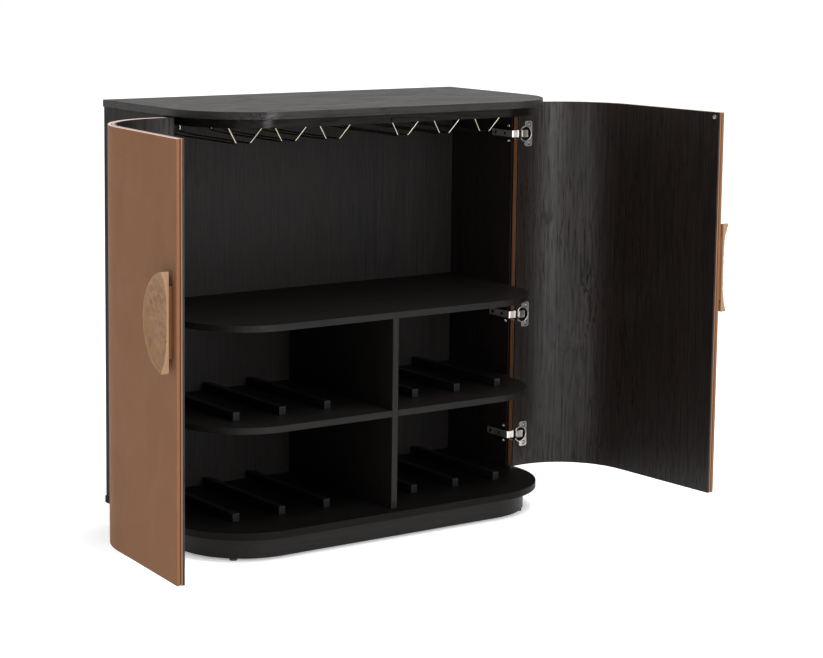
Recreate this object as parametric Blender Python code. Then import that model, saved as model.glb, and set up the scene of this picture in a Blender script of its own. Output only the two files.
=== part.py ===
"""Bar cabinet with rounded front corners and two curved, leather-clad doors.

Metres, +Z up. X runs to the right and Y to the back. The origin is on the floor, under the
middle of the top slab. Both doors stand open, and turn on upright axes near the side panels.
"""

import math

import bmesh
import bpy
from mathutils import Matrix, Quaternion, Vector

# Overall form
WIDTH = 1.000
DEPTH = 0.500
HEIGHT = 1.005
CORNER_RADIUS = 0.194
SLAB_THICKNESS = 0.017

# Fits between neighbouring pieces
GAP = 0.0003
SWING_CLEARANCE = 0.002

# Foot
GLIDE_HEIGHT = 0.005
GLIDE_RADIUS = 0.009
GLIDE_BEARING_DEG = 50
PLINTH_HEIGHT = 0.049
PLINTH_INSET = 0.030
PLINTH_BOARD = 0.018
BRACE_WIDTH = 0.045

# Carcass
PANEL_THICKNESS = 0.015
PANEL_REAR_INSET = 0.002
BACK_THICKNESS = 0.006
BACK_RECESS = 0.030
SUB_TOP_THICKNESS = 0.021
SUB_TOP_FRONT_GAP = 0.006
SHELF_THICKNESS = 0.015
SHELF_FRONT_GAP = 0.007
DIVIDER_THICKNESS = 0.016
LOWER_BAY_HEIGHT = 0.217
MIDDLE_BAY_HEIGHT = 0.214

# Bottle rests
REST_WIDTH = 0.018
REST_HEIGHT = 0.020
REST_FRONT = 0.120
REST_REAR_GAP = 0.008
REST_PLACES = (0.125, 0.248, 0.371)

# Stemware rack of bent wire, measured between the wire's middle lines
RACK_WIRE = 0.004
RACK_BEND = 0.006
RACK_DROP = 0.0404
RACK_SPREAD = 0.0295
RACK_FOOT = 0.013
RACK_PITCH = 0.120
RACK_FIRST_SLOT = 0.0985
RACK_SIDE_CLEARANCE = 0.060
RACK_NECK_LEFT = 0.035
RACK_NECK_RIGHT = 0.026
RACK_FRONT = 0.1355
RACK_FRONT_LEAN = 0.011
RACK_RISE = 0.003
RACK_RISE_RUN = 0.085
RACK_REAR_GAP = 0.006

# Doors
DOOR_INSET = 0.002
LEATHER_BOARD = 0.0125
VENEER_THICKNESS = 0.0052
DOOR_CLEARANCE = 0.004
MEETING_GAP = 0.003
RIGHT_DOOR_OPEN_DEG = 92.87
LEFT_DOOR_OPEN_DEG = 95.25

# Door pivots, from the cabinet's side and from the end of the corner's curve
PIVOT_INSET = 0.008
PIVOT_PAST_CURVE = 0.016
END_PAST_PIVOT = 0.008

# Hinges: heights, then the cup on the door and the arm on the side panel
HINGE_ABOVE_BASE = 0.084
HINGE_BELOW_SHELF = 0.059
HINGE_BELOW_TOP = 0.081
CUP_RADIUS = 0.0175
CUP_WALL = 0.0015
CUP_DEPTH = 0.0120
CUP_FROM_END = 0.023
CUP_RIM_RADIUS = 0.0195
FLANGE_HEIGHT = 0.062
FLANGE_WIDTH = 0.024
FLANGE_OFFSET = 0.009
FLANGE_THICKNESS = 0.0015
FLANGE_CORNER = 0.005
PIN_RADIUS = 0.0015
BARREL_RADIUS = 0.0032
EAR_RADIUS = 0.0033
EAR_THICKNESS = 0.0038
ARM_HALF_HEIGHT = 0.0092
ARM_SHEET = 0.003
ARM_FROM_PANEL = 0.008
ARM_REACH = 0.004
SLOT_CLEARANCE = 0.0018
ARM_REAR = 0.080
RISER_HALF_HEIGHT = 0.0065
MOUNT_SHEET = 0.002
MOUNT_STEM_LENGTH = 0.046
MOUNT_STEM_HALF_HEIGHT = 0.009
MOUNT_WING_LENGTH = 0.014
MOUNT_WING_HALF_HEIGHT = 0.024

# Half-disc handles
HANDLE_HEIGHT = 0.615
HANDLE_RADIUS = 0.105
HANDLE_RIM = 0.0185
HANDLE_RIM_WIDTH = 0.005
HANDLE_MIDDLE = 0.0044
SPACER_RADIUS = 0.076
SPACER_THICKNESS = 0.010
LEFT_HANDLE_SETBACK = 0.0165
RIGHT_HANDLE_SETBACK = 0.0040

# Double magnet catch and the two strikes that meet it
STRIKE_PLACE = 0.014
STRIKE_RADIUS = 0.005
STRIKE_THICKNESS = 0.003
CATCH_END = 0.006
CATCH_DEPTH = 0.012
CATCH_ABOVE_EDGE = 0.0065

# Facets
ARC_STEPS = 16
DISC_STEPS = 48
CUP_STEPS = 28
SMALL_STEPS = 24
DISH_STEPS = 6
WIRE_STEP_DEG = 20
SMOOTH_ANGLE_DEG = 30

# Levels and lines worked out from the sizes above
FRONT = -DEPTH / 2
REAR = DEPTH / 2
CURVE_X = WIDTH / 2 - CORNER_RADIUS
CURVE_Y = FRONT + CORNER_RADIUS
BASE_BOTTOM = GLIDE_HEIGHT + PLINTH_HEIGHT
BASE_TOP = BASE_BOTTOM + SLAB_THICKNESS
TOP_BOTTOM = HEIGHT - SLAB_THICKNESS
SUB_TOP_BOTTOM = TOP_BOTTOM - GAP - SUB_TOP_THICKNESS
LOWER_SHELF_BOTTOM = BASE_TOP + LOWER_BAY_HEIGHT
LOWER_SHELF_TOP = LOWER_SHELF_BOTTOM + SHELF_THICKNESS
MIDDLE_SHELF_BOTTOM = LOWER_SHELF_TOP + MIDDLE_BAY_HEIGHT
MIDDLE_SHELF_TOP = MIDDLE_SHELF_BOTTOM + SHELF_THICKNESS

DOOR_THICKNESS = LEATHER_BOARD + GAP + VENEER_THICKNESS
DOOR_INNER_INSET = DOOR_INSET + DOOR_THICKNESS
DOOR_BOTTOM = BASE_TOP + DOOR_CLEARANCE
DOOR_TOP = TOP_BOTTOM - DOOR_CLEARANCE
DOOR_END_Y = CURVE_Y + PIVOT_PAST_CURVE + END_PAST_PIVOT
DOOR_FACE_X = WIDTH / 2 - DOOR_INNER_INSET
PIVOT_X = WIDTH / 2 - PIVOT_INSET
PIVOT_Y = CURVE_Y + PIVOT_PAST_CURVE
HINGE_HEIGHTS = {
    "low": BASE_TOP + HINGE_ABOVE_BASE,
    "middle": MIDDLE_SHELF_BOTTOM - HINGE_BELOW_SHELF,
    "high": TOP_BOTTOM - HINGE_BELOW_TOP,
}

# Where a hinge's cup, ears and arm slot lie on a closed door
CUP_Y = DOOR_END_Y - CUP_FROM_END
EAR_START = ARM_HALF_HEIGHT + GAP
EAR_END = EAR_START + EAR_THICKNESS
SLOT_FRONT = PIVOT_Y - ARM_REACH - SLOT_CLEARANCE
POCKET_FLOOR = DOOR_FACE_X + GAP

# The side panels stand just behind the circle that a door's outer corner sweeps
CORNER_SWEEP = math.hypot(PIVOT_INSET - DOOR_INSET, END_PAST_PIVOT)
PANEL_OUTER_X = WIDTH / 2 - DOOR_INSET
PANEL_INNER_X = PANEL_OUTER_X - PANEL_THICKNESS
PANEL_FRONT = PIVOT_Y + CORNER_SWEEP + SWING_CLEARANCE
PANEL_REAR = REAR - PANEL_REAR_INSET
BACK_FRONT = REAR - BACK_RECESS - BACK_THICKNESS
INSIDE_X = PANEL_INNER_X - GAP
INSIDE_REAR = BACK_FRONT - GAP

# As many stem slots in each half as leave the rack clear of the side panel
RACK_LAST_SLOT = INSIDE_X - RACK_SIDE_CLEARANCE - RACK_FOOT - RACK_SPREAD - RACK_NECK_LEFT / 2
RACK_SLOTS = 1 + math.floor((RACK_LAST_SLOT - RACK_FIRST_SLOT) / RACK_PITCH)

# Colour, roughness and metallic value of each surface
FINISHES = {
    "top_wood": ((0.155, 0.144, 0.137), 0.35, 0.0),
    "dark_wood": ((0.042, 0.035, 0.033), 0.45, 0.0),
    "black_bar": ((0.012, 0.012, 0.012), 0.50, 0.0),
    "leather": ((0.231, 0.119, 0.065), 0.55, 0.0),
    "light_wood": ((0.352, 0.216, 0.117), 0.50, 0.0),
    "brass": ((0.830, 0.600, 0.270), 0.22, 1.0),
    "nickel": ((0.700, 0.690, 0.660), 0.28, 1.0),
    "magnet": ((0.050, 0.050, 0.055), 0.40, 0.5),
    "glide": ((0.030, 0.030, 0.030), 0.60, 0.0),
}


def finish_of(name, finish):
    """A Principled material for one piece."""
    colour, roughness, metallic = FINISHES[finish]
    material = bpy.data.materials.new(name)
    material.use_nodes = True
    shader = material.node_tree.nodes["Principled BSDF"]
    shader.inputs["Base Color"].default_value = (*colour, 1.0)
    shader.inputs["Roughness"].default_value = roughness
    shader.inputs["Metallic"].default_value = metallic
    return material


def piece(name, mesh, finish, location=(0, 0, 0), parent=None):
    """A named object of the cabinet, with its own finish."""
    mesh.shade_smooth()
    mesh.set_sharp_from_angle(angle=math.radians(SMOOTH_ANGLE_DEG))
    mesh.materials.clear()
    mesh.materials.append(finish_of(name, finish))
    obj = bpy.data.objects.new(name, mesh)
    obj.location = location
    obj.parent = parent
    bpy.context.scene.collection.objects.link(obj)
    return obj


def closed_mesh(name, shape):
    """Mesh of a bmesh shape, with its faces turned outwards."""
    bmesh.ops.recalc_face_normals(shape, faces=shape.faces)
    mesh = bpy.data.meshes.new(name)
    shape.to_mesh(mesh)
    shape.free()
    return mesh


def board(name, outline, bottom, top):
    """Mesh of a plan outline raised from one height to another."""
    shape = bmesh.new()
    lower = [shape.verts.new((x, y, bottom)) for x, y in outline]
    face = shape.faces.new(lower)
    raised = bmesh.ops.extrude_face_region(shape, geom=[face])["geom"]
    upper = [v for v in raised if isinstance(v, bmesh.types.BMVert)]
    bmesh.ops.translate(shape, verts=upper, vec=(0, 0, top - bottom))
    return closed_mesh(name, shape)


def block(name, xs, ys, zs):
    """Mesh of a straight-sided block between three pairs of limits."""
    outline = [(xs[0], ys[0]), (xs[1], ys[0]), (xs[1], ys[1]), (xs[0], ys[1])]
    return board(name, outline, *zs)


def upright_tube(name, radius, bottom, top, centre=(0, 0), steps=SMALL_STEPS):
    """Mesh of an upright cylinder."""
    turns = [2 * math.pi * i / steps for i in range(steps)]
    outline = [(centre[0] + radius * math.cos(a), centre[1] + radius * math.sin(a)) for a in turns]
    return board(name, outline, bottom, top)


def sideways_tube(name, radius, start, end, y, z, steps=CUP_STEPS):
    """Mesh of a cylinder that lies along X."""
    mesh = upright_tube(name, radius, start, end, steps=steps)
    mesh.transform(Matrix.Translation((0, y, z)) @ Matrix.Rotation(math.radians(90), 4, "Y"))
    return mesh


def forward_tube(name, radius, start, end, x, z, steps=SMALL_STEPS):
    """Mesh of a cylinder that lies along Y."""
    mesh = upright_tube(name, radius, -end, -start, steps=steps)
    mesh.transform(Matrix.Translation((x, 0, z)) @ Matrix.Rotation(math.radians(90), 4, "X"))
    return mesh


def fitted(mesh, added=(), removed=()):
    """Mesh with other shapes joined to it, and then others cut from it."""
    base = bpy.data.objects.new("base", mesh)
    shapes = [base]
    jobs = [(tool, "UNION") for tool in added] + [(tool, "DIFFERENCE") for tool in removed]
    for tool, operation in jobs:
        shapes.append(bpy.data.objects.new("tool", tool))
        modifier = base.modifiers.new(operation, "BOOLEAN")
        modifier.operation = operation
        modifier.solver = "EXACT"
        modifier.object = shapes[-1]
    for shape in shapes:
        bpy.context.scene.collection.objects.link(shape)
    graph = bpy.context.evaluated_depsgraph_get()
    result = bpy.data.meshes.new_from_object(base.evaluated_get(graph))
    for shape in shapes:
        bpy.data.objects.remove(shape)
    return result


def arc(centre, radius, start, end, steps=ARC_STEPS):
    """Points of an arc in plan, from one bearing to another in degrees."""
    turns = [math.radians(start + (end - start) * i / steps) for i in range(steps + 1)]
    return [(centre[0] + radius * math.cos(a), centre[1] + radius * math.sin(a)) for a in turns]


def corner(inset):
    """The right front corner, from the front line round to the side."""
    return arc((CURVE_X, CURVE_Y), CORNER_RADIUS - inset, 270, 360)


def both_sides(right_half):
    """Whole outline from its right half, which runs from the front round to the rear."""
    return right_half + [(-x, y) for x, y in reversed(right_half)]


def slab_outline(inset, rear):
    """D-shaped outline of the slabs, set in from their front and sides."""
    return both_sides(corner(inset) + [(WIDTH / 2 - inset, rear)])


def shelf_half(inset):
    """Right half of a shelf: inside the curve in front, and up to the side panel behind."""
    side = WIDTH / 2 - inset
    return corner(inset) + [(side, PANEL_FRONT), (INSIDE_X, PANEL_FRONT), (INSIDE_X, INSIDE_REAR)]


def build_foot():
    """Plinth ring, the brace across its middle, and five glides."""
    top = BASE_BOTTOM - GAP
    outer = slab_outline(PLINTH_INSET, REAR - PLINTH_INSET)
    inner_inset = PLINTH_INSET + PLINTH_BOARD
    hollow = board("hollow", slab_outline(inner_inset, REAR - inner_inset), 0, HEIGHT)
    ring = fitted(board("plinth", outer, GLIDE_HEIGHT, top), removed=[hollow])
    piece("plinth", ring, "dark_wood")

    brace_ends = (FRONT + inner_inset + GAP, REAR - inner_inset - GAP)
    brace = block("brace", (-BRACE_WIDTH / 2, BRACE_WIDTH / 2), brace_ends, (GLIDE_HEIGHT, top))
    piece("plinth_brace", brace, "dark_wood")

    mid_inset = PLINTH_INSET + PLINTH_BOARD / 2
    bearing = -GLIDE_BEARING_DEG
    front_x, front_y = arc((CURVE_X, CURVE_Y), CORNER_RADIUS - mid_inset, bearing, 0)[0]
    places = {
        "glide_front_left": (-front_x, front_y),
        "glide_front_right": (front_x, front_y),
        "glide_rear_left": (-front_x, REAR - mid_inset),
        "glide_rear_right": (front_x, REAR - mid_inset),
        "glide_centre": (0, 0),
    }
    for name, place in places.items():
        foot = upright_tube(name, GLIDE_RADIUS, 0, GLIDE_HEIGHT - GAP)
        piece(name, foot, "glide", (*place, 0))


def build_carcass():
    """Slabs, panels, shelves and divider."""
    base = board("base_slab", slab_outline(0, REAR), BASE_BOTTOM, BASE_TOP)
    piece("base_slab", base, "dark_wood")
    piece("top_slab", board("top_slab", slab_outline(0, REAR), TOP_BOTTOM, HEIGHT), "top_wood")

    levels = (BASE_TOP + GAP, TOP_BOTTOM - GAP)
    for side, word in ((1, "right"), (-1, "left")):
        xs = sorted((side * PANEL_INNER_X, side * PANEL_OUTER_X))
        panel = block(word, xs, (PANEL_FRONT, PANEL_REAR), levels)
        piece(f"{word}_side_panel", panel, "dark_wood")
    back = block("back", (-INSIDE_X, INSIDE_X), (BACK_FRONT, BACK_FRONT + BACK_THICKNESS), levels)
    piece("back_panel", back, "dark_wood")

    sub_inset = DOOR_INNER_INSET + SUB_TOP_FRONT_GAP
    sub_top = board("sub_top", both_sides(shelf_half(sub_inset)), SUB_TOP_BOTTOM, TOP_BOTTOM - GAP)
    piece("sub_top", fitted(sub_top, removed=[catch_block(GAP)]), "dark_wood")
    piece("magnet_catch", catch_block(0), "magnet")

    inset = DOOR_INNER_INSET + SHELF_FRONT_GAP
    half = shelf_half(inset)
    middle = board("middle", both_sides(half), MIDDLE_SHELF_BOTTOM, MIDDLE_SHELF_TOP)
    piece("middle_shelf", middle, "dark_wood")

    divider_x = DIVIDER_THICKNESS / 2
    inner_x = divider_x + GAP
    right_lower = [(inner_x, INSIDE_REAR), (inner_x, FRONT + inset)] + half
    left_lower = [(-x, y) for x, y in reversed(right_lower)]
    for word, outline in (("right", right_lower), ("left", left_lower)):
        lower = board(word, outline, LOWER_SHELF_BOTTOM, LOWER_SHELF_TOP)
        piece(f"lower_shelf_{word}", lower, "dark_wood")
    heights = (BASE_TOP + GAP, MIDDLE_SHELF_BOTTOM - GAP)
    divider = block("divider", (-divider_x, divider_x), (FRONT + inset, INSIDE_REAR), heights)
    piece("divider", divider, "dark_wood")


def build_bottle_rests():
    """Bars on both levels below the middle shelf, which keep bottles from rolling."""
    ys = (FRONT + REST_FRONT, INSIDE_REAR - REST_REAR_GAP)
    places = [-x for x in reversed(REST_PLACES)] + list(REST_PLACES)
    for word, floor in (("low", BASE_TOP), ("high", LOWER_SHELF_TOP)):
        zs = (floor + GAP, floor + GAP + REST_HEIGHT)
        for number, x in enumerate(places, 1):
            bar = block(word, (x - REST_WIDTH / 2, x + REST_WIDTH / 2), ys, zs)
            piece(f"bottle_rest_{word}_{number}", bar, "black_bar")


def wire(name, corners, radius, bend):
    """Mesh of a round wire through some corners, where it bends with a given radius."""
    line = [corners[0]]
    for before, at, after in zip(corners, corners[1:], corners[2:]):
        back = (before - at).normalized()
        ahead = (after - at).normalized()
        turn = math.pi - back.angle(ahead)
        if turn < math.radians(WIRE_STEP_DEG):
            line.append(at)
            continue
        centre = at + (back + ahead).normalized() * bend / math.cos(turn / 2)
        axis = ahead.cross(back).normalized()
        start = at + back * bend * math.tan(turn / 2) - centre
        steps = math.ceil(turn / math.radians(WIRE_STEP_DEG))
        for i in range(steps + 1):
            line.append(centre + Quaternion(axis, turn * i / steps) @ start)
    line.append(corners[-1])
    curve = bpy.data.curves.new(name, "CURVE")
    curve.dimensions = "3D"
    curve.bevel_depth = radius
    curve.bevel_resolution = 2
    curve.use_fill_caps = True
    spline = curve.splines.new("POLY")
    spline.points.add(len(line) - 1)
    for point, place in zip(spline.points, line):
        point.co = (*place, 1)
    tube = bpy.data.objects.new(name, curve)
    shape = bmesh.new()
    shape.from_mesh(bpy.data.meshes.new_from_object(tube))
    bmesh.ops.remove_doubles(shape, verts=shape.verts, dist=0.0001)
    bpy.data.objects.remove(tube)
    return closed_mesh(name, shape)


def rack_leg(x, splay):
    """Corners of one leg: from under the sub-top down the slanting front, back, and up again."""
    top = SUB_TOP_BOTTOM - GAP - RACK_WIRE / 2
    low = top - RACK_DROP
    front = FRONT + RACK_FRONT
    rear = INSIDE_REAR - RACK_REAR_GAP - RACK_WIRE / 2
    return [
        Vector((x - splay, front, top)),
        Vector((x, front + RACK_FRONT_LEAN, low)),
        Vector((x, rear - RACK_RISE_RUN, low)),
        Vector((x, rear, low + RACK_RISE)),
        Vector((x, rear, SUB_TOP_BOTTOM - GAP)),
    ]


def build_stem_rack():
    """Bent brass wires under the sub-top, which leave slots for glass stems in each half."""
    foot = Vector((RACK_FOOT, 0, 0))
    number = 0
    for side, neck in ((-1, RACK_NECK_LEFT), (1, RACK_NECK_RIGHT)):
        slots = sorted(side * (RACK_FIRST_SLOT + RACK_PITCH * i) for i in range(RACK_SLOTS))
        lefts = [rack_leg(slot - neck / 2, RACK_SPREAD) for slot in slots]
        rights = [rack_leg(slot + neck / 2, -RACK_SPREAD) for slot in slots]
        # An end wire has one leg and a foot, and the wire between two slots has a leg in each
        wires = [[lefts[0][0] - foot] + lefts[0]]
        for right, left in zip(rights, lefts[1:]):
            wires.append(right[::-1] + left)
        wires.append([rights[-1][0] + foot] + rights[-1])
        for corners in wires:
            number += 1
            mesh = wire("rack_wire", corners, RACK_WIRE / 2, RACK_BEND)
            piece(f"rack_wire_{number}", mesh, "brass")


def door_path(inset, end_y):
    """A closed right door's line in plan, from its free end round to its hinge end."""
    return [(MEETING_GAP / 2, FRONT + inset)] + corner(inset) + [(WIDTH / 2 - inset, end_y)]


def door_layer(name, outer, inner, cutters):
    """One curved layer of a door between two insets from the slabs' outline, less its cutters."""
    outline = door_path(outer, DOOR_END_Y) + door_path(inner, DOOR_END_Y)[::-1]
    return fitted(board(name, outline, DOOR_BOTTOM, DOOR_TOP), removed=cutters)


def ear_outline(radius, start):
    """Tab with a round end about the pivot, from a line nearer the middle of the cabinet."""
    tip = arc((PIVOT_X, PIVOT_Y), radius, -90, 90)
    return [(start, PIVOT_Y - radius)] + tip + [(start, PIVOT_Y + radius)]


def flange_outline(spare):
    """Upright flange plate with rounded corners, in Y and Z about the cup's middle."""
    half_y = FLANGE_WIDTH / 2 + spare
    half_z = FLANGE_HEIGHT / 2 + spare
    middle = CUP_Y - FLANGE_OFFSET
    points = []
    for start, y, z in ((0, 1, 1), (90, -1, 1), (180, -1, -1), (270, 1, -1)):
        centre = (middle + y * (half_y - FLANGE_CORNER), z * (half_z - FLANGE_CORNER))
        points += arc(centre, FLANGE_CORNER, start, start + 90, 4)
    return points


def flange_plate(start, end, spare, height):
    """Mesh of the flange's outline between two X positions."""
    mesh = board("flange", flange_outline(spare), start, end)
    # The outline's own axes are Y, Z and X, which this turn brings into place
    mesh.transform(Matrix(((0, 0, 1, 0), (1, 0, 0, 0), (0, 1, 0, height), (0, 0, 0, 1))))
    return mesh


def hinge_cutters(height, with_pocket):
    """What a hinge takes out of a closed right door: a bore, an arm notch, and a flange seat."""
    start = DOOR_FACE_X - FLANGE_HEIGHT / 2
    bore_end = DOOR_FACE_X + CUP_DEPTH
    bore = sideways_tube("bore", CUP_RADIUS + GAP, start, bore_end, CUP_Y, height)
    notch_x = (start, PIVOT_X + EAR_RADIUS + GAP)
    notch_z = (height - EAR_END - GAP, height + EAR_END + GAP)
    past_end = DOOR_END_Y + CUP_FROM_END
    notch = block("notch", notch_x, (SLOT_FRONT, past_end), notch_z)
    cutters = [bore, notch]
    if with_pocket:
        rim_radius = CUP_RIM_RADIUS + GAP
        cutters.append(sideways_tube("rim", rim_radius, start, POCKET_FLOOR, CUP_Y, height))
        cutters.append(flange_plate(start, POCKET_FLOOR, GAP, height))
    return cutters


def hinge_cup_mesh():
    """Door half of a hinge about the pivot: flanged cup, with two ears and the pin between them."""
    face = POCKET_FLOOR - GAP - FLANGE_THICKNESS
    bottom = DOOR_FACE_X + CUP_DEPTH - GAP
    floor = bottom - CUP_WALL
    inside = CUP_RADIUS - CUP_WALL
    plate = flange_plate(face, face + FLANGE_THICKNESS, 0, 0)
    rim = sideways_tube("rim", CUP_RIM_RADIUS, face, face + FLANGE_THICKNESS, CUP_Y, 0)
    cup = sideways_tube("cup", CUP_RADIUS, face + FLANGE_THICKNESS / 2, bottom, CUP_Y, 0)
    hollow = sideways_tube("hollow", inside, face - FLANGE_THICKNESS, floor, CUP_Y, 0)
    slot_y = (SLOT_FRONT, PIVOT_Y + CUP_RADIUS)
    slot = block("slot", (face - CUP_DEPTH, bottom + CUP_DEPTH), slot_y, (-EAR_START, EAR_START))
    shell = fitted(plate, added=[rim, cup], removed=[hollow, slot])
    tab = ear_outline(EAR_RADIUS, face + FLANGE_THICKNESS / 2)
    ears = [board("ear", tab, *sorted((s * EAR_START, s * EAR_END))) for s in (1, -1)]
    pin_end = EAR_START + EAR_THICKNESS / 2
    pin = upright_tube("pin", PIN_RADIUS, -pin_end, pin_end, (PIVOT_X, PIVOT_Y))
    return fitted(shell, added=[*ears, pin])


def hinge_arm_mesh():
    """Cabinet half of a hinge about the pivot: mounting plate, riser, arm and barrel."""
    plate_x = (PANEL_INNER_X - GAP - MOUNT_SHEET, PANEL_INNER_X - GAP)
    arm_face = PANEL_INNER_X - ARM_FROM_PANEL
    arm_back = arm_face - ARM_SHEET
    front = PIVOT_Y - ARM_REACH
    rear = front + ARM_REAR
    outline = [(arm_back, rear), (arm_back, front), (PIVOT_X - BARREL_RADIUS / 2, front)]
    outline += [(PIVOT_X - BARREL_RADIUS / 2, front + ARM_SHEET), (arm_face, front + ARM_SHEET)]
    outline += [(arm_face, rear)]
    arm = board("arm", outline, -ARM_HALF_HEIGHT, ARM_HALF_HEIGHT)
    axis = (PIVOT_X, PIVOT_Y)
    barrel = upright_tube("barrel", BARREL_RADIUS, -ARM_HALF_HEIGHT, ARM_HALF_HEIGHT, axis)
    riser_x = (arm_face - ARM_SHEET / 2, plate_x[0] + MOUNT_SHEET / 2)
    riser_y = (PANEL_FRONT + ARM_SHEET, rear - ARM_SHEET)
    riser = block("riser", riser_x, riser_y, (-RISER_HALF_HEIGHT, RISER_HALF_HEIGHT))
    wing_y = (PANEL_FRONT + MOUNT_SHEET, PANEL_FRONT + MOUNT_SHEET + MOUNT_WING_LENGTH)
    wing = block("wing", plate_x, wing_y, (-MOUNT_WING_HALF_HEIGHT, MOUNT_WING_HALF_HEIGHT))
    stem_y = (wing_y[0], wing_y[0] + MOUNT_STEM_LENGTH)
    stem = block("stem", plate_x, stem_y, (-MOUNT_STEM_HALF_HEIGHT, MOUNT_STEM_HALF_HEIGHT))
    bore = upright_tube("bore", PIN_RADIUS + GAP, -HEIGHT, HEIGHT, axis)
    return fitted(arm, added=[barrel, riser, wing, stem], removed=[bore])


def handle_mesh(setback):
    """Dished wooden disc, cut upright beside the meeting line of the doors."""
    back = FRONT + DOOR_INSET - SPACER_THICKNESS
    dish = HANDLE_RADIUS - HANDLE_RIM_WIDTH
    sag = HANDLE_RIM - HANDLE_MIDDLE
    ball = (dish * dish + sag * sag) / (2 * sag)
    profile = [(0, back), (HANDLE_RADIUS, back), (HANDLE_RADIUS, back - HANDLE_RIM)]
    for i in range(DISH_STEPS, -1, -1):
        r = dish * i / DISH_STEPS
        rise = ball - math.sqrt(ball * ball - r * r)
        profile.append((r, back - HANDLE_MIDDLE - rise))
    shape = bmesh.new()
    verts = [shape.verts.new((r, y, HANDLE_HEIGHT)) for r, y in profile]
    edges = [shape.edges.new(pair) for pair in zip(verts, verts[1:])]
    middle = Vector((0, 0, HANDLE_HEIGHT))
    full = 2 * math.pi
    bmesh.ops.spin(
        shape, geom=verts + edges, cent=middle, axis=(0, 1, 0), steps=DISC_STEPS, angle=full
    )
    bmesh.ops.remove_doubles(shape, verts=shape.verts, dist=GAP / 10)
    disc = closed_mesh("disc", shape)
    return fitted(disc, removed=[beside_handle(setback)])


def spacer_mesh(setback):
    """Disc that holds the handle off the leather, cut on the same line."""
    back = FRONT + DOOR_INSET - GAP
    front = back - SPACER_THICKNESS + 2 * GAP
    disc = forward_tube("disc", SPACER_RADIUS, front, back, 0, HANDLE_HEIGHT, DISC_STEPS)
    return fitted(disc, removed=[beside_handle(setback)])


def beside_handle(setback):
    """Block over the part of a disc that its handle leaves out."""
    return block("rest", (-WIDTH, setback), (-DEPTH, DEPTH), (-HEIGHT, 2 * HEIGHT))


def catch_block(spare):
    """Block let into the front edge of the sub-top, with a magnet at each end."""
    edge = FRONT + DOOR_INNER_INSET + SUB_TOP_FRONT_GAP
    front = FRONT + DOOR_INNER_INSET + STRIKE_THICKNESS + 2 * GAP
    height = SUB_TOP_BOTTOM + CATCH_ABOVE_EDGE
    half_x = STRIKE_PLACE + CATCH_END + spare
    half_z = STRIKE_RADIUS + spare
    ys = (front - spare, edge + CATCH_DEPTH + spare)
    return block("catch", (-half_x, half_x), ys, (height - half_z, height + half_z))


def strike_mesh():
    """Steel stud on the door's inner face, which meets the magnet."""
    front = FRONT + DOOR_INNER_INSET + GAP
    height = SUB_TOP_BOTTOM + CATCH_ABOVE_EDGE
    ends = (front, front + STRIKE_THICKNESS)
    return forward_tube("strike", STRIKE_RADIUS, *ends, STRIKE_PLACE, height)


def build_door(side, word, open_deg, setback):
    """One door and everything that turns with it, shaped closed on the right and then mirrored."""
    pivot = bpy.data.objects.new(f"{word}_door_pivot", None)
    pivot.location = (side * PIVOT_X, PIVOT_Y, 0)
    pivot.rotation_euler.z = side * math.radians(open_deg)
    bpy.context.scene.collection.objects.link(pivot)

    leather_cuts = []
    veneer_cuts = []
    for height in HINGE_HEIGHTS.values():
        leather_cuts += hinge_cutters(height, False)
        veneer_cuts += hinge_cutters(height, True)
    leather_inner = DOOR_INSET + LEATHER_BOARD
    veneer_outer = DOOR_INNER_INSET - VENEER_THICKNESS
    leather = door_layer("leather", DOOR_INSET, leather_inner, leather_cuts)
    veneer = door_layer("veneer", veneer_outer, DOOR_INNER_INSET, veneer_cuts)
    meshes = {
        "leather_board": (leather, "leather"),
        "inner_panel": (veneer, "dark_wood"),
        "handle": (handle_mesh(setback), "light_wood"),
        "handle_spacer": (spacer_mesh(setback), "light_wood"),
        "strike": (strike_mesh(), "nickel"),
    }
    for level, height in HINGE_HEIGHTS.items():
        cup = hinge_cup_mesh()
        cup.transform(Matrix.Translation((0, 0, height)))
        meshes[f"hinge_cup_{level}"] = (cup, "nickel")
        arm = hinge_arm_mesh()
        arm.transform(Matrix.Translation((0, 0, height)))
        mirror(arm, side)
        piece(f"{word}_hinge_arm_{level}", arm, "nickel")
    for name, (mesh, finish) in meshes.items():
        mesh.transform(Matrix.Translation((-PIVOT_X, -PIVOT_Y, 0)))
        mirror(mesh, side)
        piece(f"{word}_door_{name}", mesh, finish, parent=pivot)


def mirror(mesh, side):
    """Turns a right-hand mesh into a left-hand one where the side asks for it."""
    if side < 0:
        mesh.transform(Matrix.Scale(-1, 4, (1, 0, 0)))
        mesh.flip_normals()


for leftover in list(bpy.data.objects):
    bpy.data.objects.remove(leftover)

build_foot()
build_carcass()
build_bottle_rests()
build_stem_rack()
build_door(1, "right", RIGHT_DOOR_OPEN_DEG, RIGHT_HANDLE_SETBACK)
build_door(-1, "left", LEFT_DOOR_OPEN_DEG, LEFT_HANDLE_SETBACK)
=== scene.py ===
import math

import bmesh
import bpy
from mathutils import Matrix, Vector


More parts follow.
